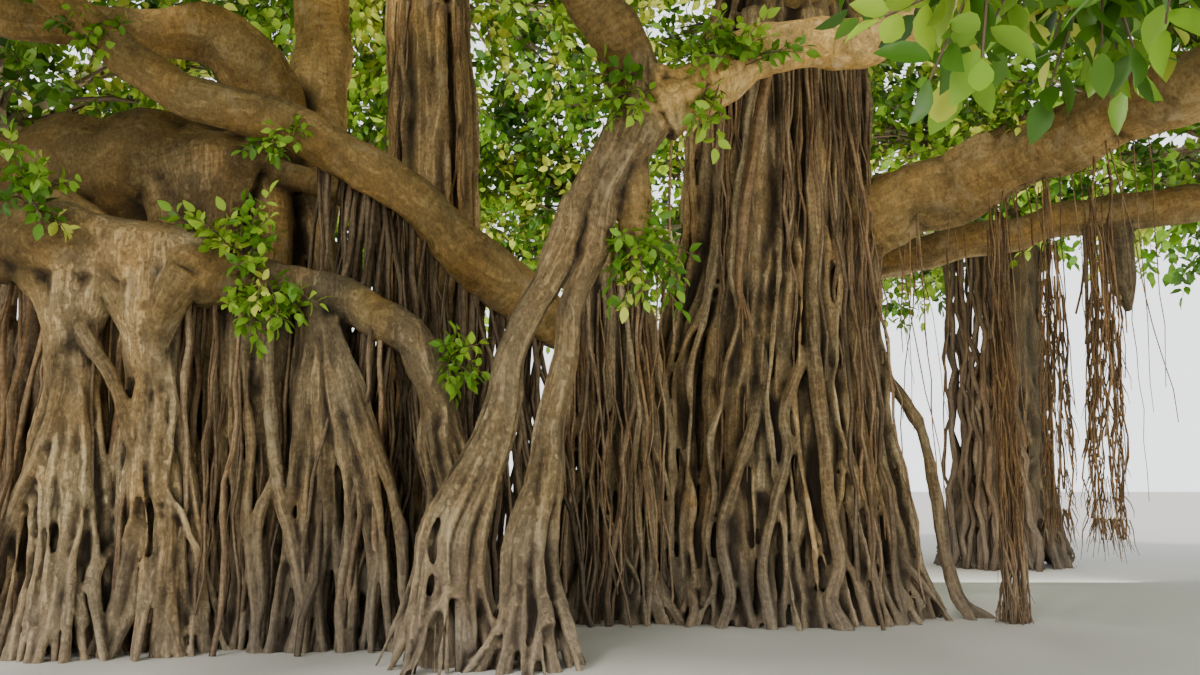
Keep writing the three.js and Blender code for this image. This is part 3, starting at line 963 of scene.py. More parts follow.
UPRIGHTS = {
    "trunk_main": [[0, 0, 0, 2.0, 1.75], [0.6, -0.1, 0, 1.8, 1.5], [2.7, -0.2, 0, 1.55, 1.3],
        [5.4, 0, -0.05, 1.2, 1.05], [7.2, 0.1, -0.05, 1.15, 1.0], [9.2, 0.15, 0, 0.75, 0.7]],
    "trunk_middle": [[0, -2.4, -0.55, 0.95, 0.85], [0.7, -2.35, -0.65, 0.8, 0.75],
        [2.2, -2.3, -0.8, 0.68, 0.62], [3.6, -2.4, -1.0, 0.54, 0.5], [4.4, -2.45, -1.1, 0.38, 0.38]],
    "trunk_left": [[0, -7.0, -0.65, 1.7, 1.4], [0.7, -7.0, -0.75, 1.45, 1.15], [3.0, -7.0, -0.9, 1.2, 1.05],
        [4.6, -7.05, -1.1, 1.0, 0.85], [5.6, -7.0, -1.15, 0.8, 0.7]],
    "trunk_inner": [[0, -4.75, -0.7, 1.0, 0.9], [0.9, -4.75, -0.75, 0.78, 0.72],
        [3.0, -4.75, -0.85, 0.62, 0.6], [6.0, -4.77, -0.9, 0.54, 0.54], [8.5, -4.9, -0.9, 0.5, 0.5],
        [9.6, -4.95, -0.9, 0.4, 0.4]],
    "pillar_arch": [[0, -7.85, -3.65, 0.55, 0.45], [0.8, -7.85, -3.65, 0.4, 0.34],
        [2.2, -7.93, -3.62, 0.3, 0.27], [3.2, -7.97, -3.6, 0.3, 0.27], [3.9, -7.97, -3.6, 0.4, 0.33]],
    "pillar_scarred": [[0, -7.0, -3.35, 0.62, 0.5], [0.9, -7.03, -3.38, 0.44, 0.38],
        [2.4, -7.15, -3.45, 0.29, 0.28], [3.2, -7.23, -3.5, 0.3, 0.28], [3.95, -7.2, -3.5, 0.4, 0.33]],
    "pillar_curtain": [[0, -6.13, -3.0, 0.5, 0.3], [0.9, -6.15, -3.05, 0.43, 0.22],
        [3.6, -6.25, -3.3, 0.38, 0.17]],
    "pillar_fan": [[0, -5.15, -2.9, 0.75, 0.48], [1.5, -5.35, -3.05, 0.54, 0.37],
        [3.45, -5.5, -3.28, 0.24, 0.22]],
    "pillar_bent": [[0, -3.95, -3.2, 0.38, 0.33], [1.3, -3.96, -3.35, 0.24, 0.24],
        [2.3, -4.15, -3.38, 0.2, 0.2], [3.2, -4.5, -3.35, 0.22, 0.2]],
    "pillar_far_left": [[0, -10.65, -4.15, 0.55, 0.5], [0.9, -10.65, -4.13, 0.38, 0.34],
        [3.0, -10.65, -4.1, 0.26, 0.25], [4.95, -10.65, -4.08, 0.26, 0.25]],
    "pillar_centre_right": [[0, -3.05, -4.5, 0.42, 0.35], [0.95, -3.15, -4.3, 0.25, 0.24],
        [2.0, -3.0, -4.2, 0.15, 0.16], [3.16, -2.82, -4.15, 0.13, 0.15], [4.2, -2.52, -4.1, 0.17, 0.2],
        [5.5, -2.08, -4.1, 0.25, 0.27]],
    "pillar_centre_left": [[0, -3.98, -4.35, 0.48, 0.4], [0.95, -3.92, -4.3, 0.32, 0.27],
        [2.67, -3.42, -4.15, 0.165, 0.18], [4.35, -2.78, -4.1, 0.165, 0.18]],
    "pillar_far_right": [[0, 6.1, 8.0, 1.4, 1.2], [0.9, 6.13, 7.95, 1.1, 0.95],
        [3.0, 6.25, 7.8, 0.78, 0.72], [5.0, 6.5, 7.7, 0.5, 0.48], [7.4, 6.8, 7.7, 0.4, 0.4]],
    "pillar_rear": [[0, 1.0, 6.2, 0.65, 0.6], [0.9, 1.0, 6.15, 0.43, 0.4], [3.2, 0.95, 6.05, 0.3, 0.3],
        [6.8, 0.9, 6.0, 0.28, 0.28]],
    "pillar_rear_left": [[0, -9.3, 5.5, 0.65, 0.6], [0.9, -9.3, 5.45, 0.43, 0.4],
        [3.2, -9.3, 5.4, 0.3, 0.3], [6.5, -9.3, 5.4, 0.28, 0.28]],
}
BOUGHS = {
    "bough_front_left": [[-7.05, -3.5, 3.98, 0.42], [-8.0, -3.6, 4.08, 0.46], [-9.0, -3.7, 4.3, 0.45],
        [-11.0, -4.2, 5.15, 0.37]],
    "bough_front_left_thin": [[-7.0, -3.5, 3.9, 0.38], [-6.03, -3.4, 3.75, 0.29], [-5.19, -3.3, 3.6, 0.24],
        [-4.5, -3.35, 3.18, 0.22]],
    "bough_left": [[-7.2, -1.25, 5.35, 0.8], [-8.3, -1.5, 5.65, 0.68], [-10.1, -1.7, 5.55, 0.55],
        [-12.0, -0.5, 6.2, 0.4]],
    "bough_cross": [[-2.55, -1.25, 3.62, 0.35], [-3.34, -2.05, 3.75, 0.33], [-4.8, -2.8, 5.0, 0.27],
        [-5.88, -3.1, 5.61, 0.26], [-7.14, -3.4, 5.96, 0.24], [-8.26, -3.9, 6.77, 0.2]],
    "bough_upper_left": [[-6.86, -1.25, 5.9, 0.42], [-6.88, -1.6, 6.85, 0.44], [-7.45, -2.0, 7.28, 0.37],
        [-8.24, -2.4, 7.15, 0.26], [-9.39, -3.1, 7.0, 0.22]],
    "bough_left_upright": [[-6.4, -0.85, 5.7, 0.43], [-6.42, -0.7, 7.5, 0.39], [-6.55, -0.6, 9.0, 0.35]],
    "bough_rear_left": [[-7.25, -0.35, 5.3, 0.42], [-8.3, 2.5, 6.25, 0.36], [-9.3, 5.4, 6.7, 0.31]],
    "bough_centre_left": [[-2.06, -4.1, 5.35, 0.28], [-2.29, -4.2, 6.15, 0.27], [-2.7, -4.5, 6.6, 0.25],
        [-3.0, -6.2, 7.1, 0.21]],
    "bough_centre_right": [[-1.9, -4.06, 5.42, 0.28], [-1.45, -3.93, 5.76, 0.28],
        [-0.77, -3.73, 6.25, 0.27], [0.42, -3.7, 6.41, 0.25], [1.23, -3.9, 6.77, 0.24],
        [2.9, -5.6, 7.4, 0.2]],
    "bough_right": [[0.7, -0.35, 5.12, 0.48], [2.61, -1.6, 5.71, 0.41], [3.46, -2.5, 5.96, 0.38],
        [4.3, -3.5, 6.12, 0.35], [6.2, -3.9, 6.9, 0.28]],
    "bough_right_lower": [[0.9, 0.45, 4.8, 0.33], [1.63, 0.5, 4.92, 0.25], [3.25, 0.1, 5.23, 0.24],
        [4.46, -0.4, 5.38, 0.25], [5.56, -0.7, 5.45, 0.24], [7.4, 0.7, 6.2, 0.21]],
    "bough_rear": [[0.4, 0.6, 6.2, 0.43], [0.8, 3.0, 6.7, 0.37], [0.9, 6.0, 7.0, 0.31]],
    "bough_upper_front": [[0.35, -0.25, 8.3, 0.43], [0.7, -1.7, 9.5, 0.35]],
    "bough_upper_right": [[0.5, 0.05, 8.0, 0.43], [1.9, 0.15, 9.5, 0.36]],
    "bough_upper_rear": [[0.25, 0.35, 8.2, 0.43], [0.6, 2.0, 9.5, 0.35]],
    "bough_crown_right": [[0.15, 0, 8.9, 0.52], [0.25, 0.1, 10.7, 0.4]],
    "bough_inner_front": [[-4.95, -1.1, 8.8, 0.36], [-5.05, -2.5, 10.0, 0.29]],
    "bough_inner_rear": [[-4.95, -0.6, 8.7, 0.36], [-5.15, 1.7, 10.0, 0.29]],
    "bough_crown_left": [[-4.95, -0.9, 9.2, 0.36], [-4.85, -0.6, 11.0, 0.29]],
    "bough_drooping": [[-1.3, -10.3, 6.9, 0.09], [-1.0, -10.4, 5.7, 0.06]],
}

# How light the bark of a bough is, where it isn't the usual 0.6

LIMB_SHADE = {"bough_left_upright": 2.3, "bough_upper_left": 1.1, "bough_front_left": 0.0,
              "bough_cross": 0.7, "bough_right": 0.7, "bough_right_lower": 0.25, "bough_left": 0.45,
              "bough_centre_right": 2.55, "bough_centre_left": 0.4}

# The masses of foliage: the limbs that carry each, those on the far side, and the boxes of further
# sprays in some, as lower corner, upper corner and count

CARRIED = {
    "mass_rim_9": ("bough_front_left", "bough_upper_left"), "mass_rim_8": ("bough_left",),
    "mass_rim_10": ("bough_cross",), "mass_shoulder_5": ("bough_left_upright",),
    "mass_rim_7": ("bough_rear_left",), "mass_rim_1": ("bough_centre_left",),
    "mass_rim_2": ("bough_centre_right",), "mass_rim_3": ("bough_right",),
    "mass_rim_4": ("bough_right_lower",), "mass_rim_5": ("pillar_far_right",),
    "mass_rim_6": ("bough_rear",), "mass_shoulder_1": ("bough_upper_front",),
    "mass_shoulder_2": ("bough_upper_right",), "mass_shoulder_3": ("bough_upper_rear",),
    "mass_top_right": ("bough_crown_right",), "mass_shoulder_6": ("bough_inner_front",),
    "mass_shoulder_4": ("bough_inner_rear",), "mass_top_left": ("bough_crown_left",),
    "mass_low_front": ("bough_drooping",),
}
FAR_SIDE = {"mass_rim_%d" % n for n in range(4, 9)} | {"mass_shoulder_%d" % n for n in (3, 4, 5)}
FILLERS = {
    "mass_low_front": [((-1.5, -10.9, 3.1), (0.4, -9.6, 4.1), 90)],
    "mass_rim_6": [((-6.3, 8.5, 7.6), (-2.2, 12.0, 11.2), 80)],
    "mass_top_right": [((0.3, -3.2, 10.4), (2.6, -1.0, 12.2), 24)],
    "mass_shoulder_4": [((-7.8, 3.6, 9.4), (-6.3, 6.2, 11.6), 30)],
    "mass_shoulder_2": [((4.8, -0.6, 8.4), (8.5, 1.6, 10.2), 34)],
}


# Crown: where along its way a branch bends, and the radius at which branches end

KNEE = 0.45
BRANCH_END = 0.012


@dataclass
class Envelope:
    """The outer shape of one mass of foliage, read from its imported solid.

    All lengths are in metres. Faces are probed at a distance from the skin, and those that another
    mass covers deeply don't count. Sprays stand a little proud of the skin, or more beside a neighbour.
    """

    name: str
    probe: float = 0.45
    covered: float = 0.55
    proud: float = 0.35
    beside: float = 1.1
    solid: bpy.types.Mesh = field(init=False)
    skin: BVHTree = field(init=False)
    outer: BVHTree | None = field(init=False, default=None)
    area: float = field(init=False, default=0.0)

    def __post_init__(self) -> None:
        """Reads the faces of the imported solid."""
        self.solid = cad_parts[self.name].data
        self.skin = self._tree(self.solid.polygons)

    def _tree(self, faces: list) -> BVHTree:
        """A search tree of some of the solid's faces."""
        return BVHTree.FromPolygons([vertex.co for vertex in self.solid.vertices],
                                    [tuple(face.vertices) for face in faces])

    def depth(self, point: Vector) -> float:
        """How deep a point lies under the skin, negative outside."""
        place_on, normal, _, gap = self.skin.find_nearest(point)
        return gap if (place_on - point).dot(normal) > 0 else -gap

    def find_outer(self, others: list) -> None:
        """Keeps the faces that no other mass covers deeply, and adds up their area."""
        kept = [face for face in self.solid.polygons
                if all(other is self or other.depth(face.center + face.normal * self.probe) < self.covered
                       for other in others)]
        self.outer = self._tree(kept) if kept else None
        self.area = sum(face.area for face in kept)

    def entry(self, start: np.ndarray, aim: np.ndarray) -> np.ndarray:
        """Where a line from start to aim comes into the mass."""
        way = Vector(aim - start)
        hit = self.skin.ray_cast(Vector(start), way.normalized(), way.length)[0]
        return start if hit is None else np.array(hit)

    def middle(self) -> np.ndarray:
        """The centre of the solid's box."""
        low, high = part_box(self.name)
        return (np.array(low) + np.array(high)) / 2

    def spots(self, rng: np.random.Generator, count: int, gap: float, shell: float,
              others: list) -> np.ndarray:
        """Seeded places for sprays, thickest near the crown's outer faces.

        Args:
            rng: Source of the draws.
            count: Most places to give.
            gap: Least distance between two places.
            shell: Depth over which the sprays thin out.
            others: All masses.

        Returns:
            The places as rows.
        """
        low, high = (np.array(corner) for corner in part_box(self.name))
        low = np.maximum(low - self.beside, np.array(CAD_BOX[0]) - 0.2)
        high = np.minimum(high + self.beside, np.array(CAD_BOX[1]) + 0.1)
        tries = rng.uniform(low, high, (count * 40, 3))
        luck = rng.uniform(size=len(tries))
        near = np.zeros(len(tries), bool)
        for number, point in enumerate(tries):
            depth = self.depth(Vector(point))
            between = -self.beside < depth < -self.proud and any(
                other is not self and other.depth(Vector(point)) > -self.beside for other in others)
            if depth > -self.proud or between:
                deep = self.outer.find_nearest(Vector(point))[3] if self.outer else 0.0
                near[number] = luck[number] < math.exp(-deep / shell) + 0.06
        kept = np.zeros((0, 3))
        for least in gap * np.array([2.4, 1.9, 1.4, 1.0]):
            for spot in tries[near]:
                if len(kept) >= count:
                    return kept
                if not len(kept) or np.min(np.sum((kept - spot) ** 2, axis=1)) > least * least:
                    kept = np.vstack([kept, spot])
        return kept


def far_apart(spots: np.ndarray, count: int) -> np.ndarray:
    """Groups spots around far apart ones.

    Args:
        spots: Rows of x, y, z.
        count: How many groups.

    Returns:
        The group number of each spot.
    """
    chosen = [0]
    gaps = np.linalg.norm(spots - spots[0], axis=1)
    for _ in range(min(count, len(spots)) - 1):
        chosen.append(int(np.argmax(gaps)))
        gaps = np.minimum(gaps, np.linalg.norm(spots - spots[chosen[-1]], axis=1))
    centres = spots[chosen]
    for _ in range(4):
        group = np.argmin(np.linalg.norm(spots[:, None] - centres[None], axis=2), axis=1)
        centres = np.array([spots[group == k].mean(axis=0) if (group == k).any() else centres[k]
                            for k in range(len(centres))])
    return group


def curve(start: np.ndarray, knee: np.ndarray, end: np.ndarray, steps: int) -> np.ndarray:
    """A curve from start to end that bends towards knee, as rows."""
    t = np.linspace(0, 1, steps)[:, None]
    return start * (1 - t) ** 2 + knee * 2 * t * (1 - t) + end * t ** 2


def bent(start: np.ndarray, lead: np.ndarray, end: np.ndarray, steps: int) -> np.ndarray:
    """A curve that leaves start along lead and comes to end, as rows."""
    return curve(start, start + lead * (np.linalg.norm(end - start) * KNEE), end, steps)


@dataclass(frozen=True)
class LeafShape:
    """The outline of a leaf of length one along y, folded a little along its midrib."""

    points: tuple
    faces: tuple
    width: float


FAR_LEAF = LeafShape(((0, 0, 0), (-0.42, 0.22, 0.05), (-0.46, 0.6, 0.04), (0, 1, -0.12),
                      (0.46, 0.6, 0.04), (0.42, 0.22, 0.05)),
                     ((0, 5, 1), (1, 5, 4), (1, 4, 2), (2, 4, 3)), 0.58)
NEAR_LEAF = LeafShape(
    ((0, 0, 0), (-0.26, 0.12, 0.03), (-0.47, 0.33, 0.07), (-0.46, 0.56, 0.06), (-0.25, 0.82, 0.0),
     (0, 1.0, -0.10), (0.25, 0.82, 0.0), (0.46, 0.56, 0.06), (0.47, 0.33, 0.07), (0.26, 0.12, 0.03),
     (0, 0.33, 0.0), (0, 0.66, -0.02)),
    ((0, 10, 1), (1, 10, 2), (2, 10, 3), (3, 10, 11), (3, 11, 4), (4, 11, 5),
     (0, 9, 10), (9, 8, 10), (8, 7, 10), (7, 11, 10), (7, 6, 11), (6, 5, 11)), 0.56)


@dataclass
class Foliage:
    """Leaves gathered for one piece.

    From leaf to leaf they turn by an angle round the twig, and each stands off on a stalk, whose
    length is a share of the leaf's.
    """

    shape: LeafShape
    tilt: float = 0.8
    turn: float = 2.4
    stalk: float = 0.12
    skin: Skin = field(default_factory=Skin)

    def sprays(self, rng: np.random.Generator, twigs: np.ndarray, leaves: int, size: float,
               finishes: np.ndarray, from_share: float = 0.3) -> None:
        """Sets leaves round twigs.

        Args:
            rng: Source of the draws.
            twigs: Centre lines as (twig, point, xyz).
            leaves: Leaves on each twig.
            size: Mean leaf length in metres.
            finishes: Finish number of each twig's leaves.
            from_share: Where along the twig the first leaf stands.
        """
        many, steps = twigs.shape[:2]
        along = np.linspace(from_share, 1.0, leaves)[None, :] + rng.uniform(-0.02, 0.02, (many, leaves))
        along = np.clip(along, 0, 1) * (steps - 1)
        low = np.minimum(along.astype(int), steps - 2)
        row = np.arange(many)[:, None]
        part = (along - low)[..., None]
        stem = twigs[row, low] * (1 - part) + twigs[row, low + 1] * part
        tangent, across, over = ring_frames(twigs)
        turn = (np.arange(leaves) * self.turn + rng.uniform(0, TAU, (many, 1))
                + rng.uniform(-0.4, 0.4, (many, leaves)))
        side = across[row, low] * np.cos(turn)[..., None] + over[row, low] * np.sin(turn)[..., None]
        forward = unit(tangent[row, low] * rng.uniform(0.15, 0.9, (many, leaves, 1)) + side
                       + UP * rng.uniform(-0.9, 0.2, (many, leaves, 1)))
        forward[:, -1] = unit(tangent[:, -1] + UP * -0.1)
        skyward = UP + rng.normal(0, self.tilt, (many, leaves, 3))
        normal = unit(skyward - forward * np.sum(skyward * forward, axis=-1, keepdims=True))
        right = np.cross(forward, normal)
        length = size * rng.uniform(0.72, 1.2, (many, leaves, 1, 1))
        points = np.array(self.shape.points)
        local = (right[:, :, None, :] * points[:, 0, None] * self.shape.width
                 + forward[:, :, None, :] * points[:, 1, None] + normal[:, :, None, :] * points[:, 2, None])
        base = stem + forward * size * self.stalk
        vertices = (base[:, :, None, :] + local * length).reshape(-1, 3)
        starts = np.arange(many * leaves)[:, None, None] * len(points)
        faces = (starts + np.array(self.shape.faces)[None]).reshape(-1, 3)
        self.skin.add(vertices, [], faces, np.repeat(finishes, leaves * len(self.shape.faces)))


def spray_greens(rng: np.random.Generator, spots: np.ndarray, lift: float) -> np.ndarray:
    """Deals a green to each spray, in drifts; the brighter greens are partly painted light.

    Args:
        rng: Source of the draws.
        spots: Where the sprays are.
        lift: Moves the choice towards the bright greens.

    Returns:
        A finish number for each spray.
    """
    drift = lattice_noise(spots * 0.4 + 50.0, 21)
    value = 0.52 + lift + 0.22 * drift + rng.normal(0, 0.23, len(spots))
    return np.clip((value * len(GREENS)).astype(int), 0, len(GREENS) - 1)


@dataclass
class Crown:
    """All masses of foliage: boughs, twigs and leaves that grow on from the limbs.

    Sprays are counted to the square metre of outer face, leaves to the twig, and leaf lengths are in
    metres. Near ones are those of the low mass in front, whose sprays are counted in all and stay above
    a slope and right of a line seen from the photo's eye.
    """

    sprays: float = 1.5
    far_side_sprays: float = 2.6
    near_sprays: int = 130
    gap: float = 0.32
    near_gap: float = 0.2
    shell: float = 0.9
    slope: float = 0.47
    aside: float = 0.29
    leaves: int = 19
    near_leaves: int = 13
    leaf: float = 0.32
    far_side_leaf: float = 0.28
    near_leaf: float = 0.18
    seed: int = 40
    masses: dict = field(init=False)
    limbs: Skin = field(default_factory=Skin)

    def __post_init__(self) -> None:
        """Reads the masses and finds their outer faces."""
        self.masses = {name: Envelope(name) for name in CARRIED}
        for mass in self.masses.values():
            mass.find_outer(list(self.masses.values()))

    def entry(self, mass: Envelope, bough: str) -> tuple[np.ndarray, np.ndarray, float]:
        """Where a limb comes into a mass.

        Args:
            mass: The mass.
            bough: The limb's name.

        Returns:
            The place, the limb's direction there, and its radius.
        """
        if bough in BOUGHS:
            knot = np.array(BOUGHS[bough][-1])
            start, radius = knot[:3], knot[3] * 0.82
            place_in = mass.entry(start, mass.middle())
        else:
            level = UPRIGHTS[bough][-1]
            place_in, radius = np.array([level[1], level[2], level[0]]), level[3] * 0.8
            start = place_in - UP
        return place_in, unit(place_in - start), radius

    def grow(self, mass: Envelope, rng: np.random.Generator, skin: Skin) -> np.ndarray:
        """Grows the boughs and twigs of one mass.

        Args:
            mass: The mass.
            rng: Source of the draws.
            skin: Takes the twigs.

        Returns:
            The twigs that carry leaves, as (twig, point, xyz).
        """
        low = mass.name == "mass_low_front"
        dense = self.far_side_sprays if mass.name in FAR_SIDE else self.sprays
        spots = mass.spots(rng, self.near_sprays if low else int(dense * mass.area),
                           self.near_gap if low else self.gap, self.shell, list(self.masses.values()))
        for low_corner, high_corner, count in FILLERS.get(mass.name, ()):
            spots = np.vstack([spots, rng.uniform(low_corner, high_corner, (count, 3))])
        if low:
            ahead = spots[:, 1] - EYE[1]
            spots = spots[(spots[:, 2] > EYE[2] + self.slope * ahead)
                          & (spots[:, 0] > EYE[0] + self.aside * ahead)]
        entries = [self.entry(mass, bough) for bough in CARRIED[mass.name]]
        groups = far_apart(spots, 4 if low else 8)
        starts, leads, ends = [], [], []
        for number in range(groups.max() + 1):
            members = spots[groups == number]
            if not len(members):
                continue
            centre = members.mean(axis=0)
            place_in, way, radius = min(entries, key=lambda one: np.linalg.norm(one[0] - centre))
            hub = place_in + way * 0.35 * np.linalg.norm(mass.middle() - place_in) * rng.uniform(0.2, 1.0)
            begin = place_in - way * 0.25
            main = np.vstack([bent(begin, way, hub, 4)[:-1], bent(hub, way, hub + (centre - hub) * 0.9, 7)])
            main = main + 0.06 * rng.normal(size=main.shape) * np.linspace(0, 1, len(main))[:, None]
            taper = np.linspace(radius * 0.62, radius * 0.16 + BRANCH_END, len(main))
            self.limbs.tubes(main[None], taper[None], 5 if low else 7, tone=rng.uniform(0.2, 0.7))
            smaller = far_apart(members, max(1, len(members) // 6))
            for part in range(smaller.max() + 1):
                few = members[smaller == part]
                if not len(few):
                    continue
                goal = few.mean(axis=0)
                step = rng.integers(4, len(main) - 1)
                lead = unit(main[step + 1] - main[step])
                branch = bent(main[step], lead, main[step] + (goal - main[step]) * 0.85, 5)
                branch[1:-1] += 0.05 * rng.normal(size=(3, 3))
                thick = np.linspace(taper[step] * 0.55, BRANCH_END, 5)
                skin.tubes(branch[None], thick[None], 4, root_end=False)
                for spot in few:
                    at = rng.integers(1, 5)
                    starts.append(branch[at])
                    leads.append(unit(branch[min(at + 1, 4)] - branch[at - 1]))
                    ends.append(spot)
        starts, leads, ends = (np.array(rows) for rows in (starts, leads, ends))
        span = np.linalg.norm(ends - starts, axis=1, keepdims=True)
        overshoot = ends + unit(ends - starts) * 0.2 * rng.uniform(0, 1, (len(ends), 1))
        overshoot[:, 2] -= 0.10 * span[:, 0] * rng.uniform(0, 1, len(ends))
        knees = starts + leads * span * KNEE
        twigs = curve(starts[:, None], knees[:, None], overshoot[:, None], 3)
        skin.tubes(twigs, np.broadcast_to(np.linspace(0.013, 0.005, 3), twigs.shape[:2]), 3,
                   root_end=False)
        return twigs

    def build(self) -> None:
        """Makes the crown's pieces: limbs, twigs and leaves by region."""
        regions = {
            "rim_right": ["mass_rim_%d" % n for n in (1, 2, 3, 4, 5)],
            "rim_left": ["mass_rim_%d" % n for n in (6, 7, 8, 9, 10)],
            "shoulders": ["mass_shoulder_%d" % n for n in range(1, 7)],
            "tops": ["mass_top_right", "mass_top_left"],
            "low_front": ["mass_low_front"],
        }
        for number, (region, names) in enumerate(regions.items()):
            near = region == "low_front"
            foliage = Foliage(NEAR_LEAF if near else FAR_LEAF)
            skin = Skin()
            for index, name in enumerate(names):
                rng = np.random.default_rng(self.seed + number * 10 + index)
                twigs = self.grow(self.masses[name], rng, skin)
                # The far crown leans to brighter greens, painted light for the sun shining through its
                # leaves
                finishes = spray_greens(rng, twigs[:, -1], -0.06 if near else 0.08)
                size = (self.near_leaf if near else self.far_side_leaf if name in FAR_SIDE
                        else self.leaf)
                foliage.sprays(rng, twigs, self.near_leaves if near else self.leaves, size, finishes, 0.25)
            piece = put_together(foliage.skin, "leaves_" + region, GREENS, smooth=near)
            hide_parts(*names)
            report(piece)
            wood = put_together(skin, "twigs_" + region, (TWIG,))
            report(wood)


# Hanging roots: ropes as levels, count, radii, turns to the metre, where roots begin, how far above
# the end they stop, and rootlets; curtains as line, count, radii, lower ends, sway and the rest of
# what HangingRoots.curtain takes

ROPES = (
    ([[2.58, -1.35, 5.6, 0.1], [2.6, -1.33, 3.6, 0.14], [2.6, -1.3, 2.6, 0.15], [2.58, -1.3, 1.2, 0.16],
      [2.56, -1.3, 0.0, 0.2]], 40, (0.007, 0.02), 0.05, (0.0, 3.4), 0.1, 170),
    ([[2.98, -2.05, 5.75, 0.12], [2.95, -2.05, 3.4, 0.15], [2.9, -2.05, 2.2, 0.17],
      [2.85, -2.05, 1.15, 0.15]], 26, (0.006, 0.014), 0.04, (0.0, 2.8), 1.6, 150),
    ([[3.42, -2.45, 5.85, 0.14], [3.36, -2.45, 3.6, 0.17], [3.26, -2.45, 2.3, 0.22],
      [3.2, -2.45, 1.05, 0.22]], 36, (0.006, 0.015), 0.04, (0.0, 2.8), 1.6, 210),
)
CURTAINS = (
    ([[2.3, -1.3, 5.6], [4.0, -2.9, 6.0]], 22, (0.006, 0.012), (1.2, 3.6), 0.03),
    ([[1.2, -0.8, 5.6], [2.2, -1.3, 5.6]], 12, (0.006, 0.013), (0.6, 4.0), 0.03),
    ([[4.2, -0.5, 5.2], [4.9, -0.6, 5.2]], 12, (0.015, 0.04), (3.2, 4.3), 0.03, 0.06, (0.0, 0.3), 0.08),
    ([[-11.6, -0.7, 5.9], [-10.1, -1.5, 5.3], [-8.6, -1.4, 5.4], [-8.0, -1.3, 5.2]], 80, (0.04, 0.1),
      (-1.0, 0.0), 0.08, 0.12, (0.0, 0.4), 0.3),
    ([[-10.6, -4.0, 4.9], [-9.0, -3.7, 4.1], [-8.3, -3.6, 3.9]], 18, (0.012, 0.045), (-0.6, 0.4), 0.05,
      0.12),
    # The next two curtains are darkened with painted shade: the first hangs behind the front roots, the
    # second in deep shade by the far pillar
    ([[-5.65, -2.9, 5.28], [-4.9, -2.7, 4.9], [-3.9, -2.3, 4.1], [-3.2, -1.8, 3.6]], 108, (0.01, 0.036),
      (-1.5, 1.0), 0.06, 0.1, (-0.9, -0.01), 0.4),
    ([[4.9, 7.3, 6.6], [6.1, 7.0, 7.0]], 28, (0.03, 0.06), (-2.0, 0.0), 0.1, 0.15, (-1.9, -1.01), 0.3),
    ([[-8.4, -3.5, 3.9], [-7.4, -3.45, 3.8], [-6.5, -3.3, 3.75]], 40, (0.014, 0.04), (-1.5, 0.4), 0.05,
      0.16, (0.0, 0.5), 0.18),
    ([[-6.6, -3.35, 3.8], [-5.7, -3.2, 3.5]], 34, (0.008, 0.028), (-1.0, 1.4), 0.05, 0.1, (0.0, 0.8), 0.12),
    ([[-5.6, -3.3, 3.6], [-4.6, -3.3, 3.2]], 16, (0.012, 0.03), (-1.0, 0.5), 0.05, 0.1, (0.0, 0.5), 0.15),
    ([[-2.9, -1.6, 3.9], [-1.7, -1.3, 4.4]], 40, (0.008, 0.028), (-0.6, 1.6), 0.06, 0.14, (0.0, 0.7), 0.25),
    ([[-5.3, -1.4, 8.0], [-4.3, -1.4, 8.0]], 12, (0.01, 0.03), (2.0, 5.6), 0.05, 0.05, (0.2, 0.8), 0.1),
    ([[-1.0, -0.95, 7.7], [0.2, -1.08, 7.5], [1.2, -0.9, 7.7]], 44, (0.009, 0.026), (-2.0, 4.0), 0.06, 0.08,
      (0.1, 0.6), 0.15),
    ([[0.2, -1.2, 7.35], [1.1, -1.05, 7.5]], 26, (0.014, 0.03), (-3.0, 1.5), 0.06, 0.05, (0.0, 0.5), 0.3),
)


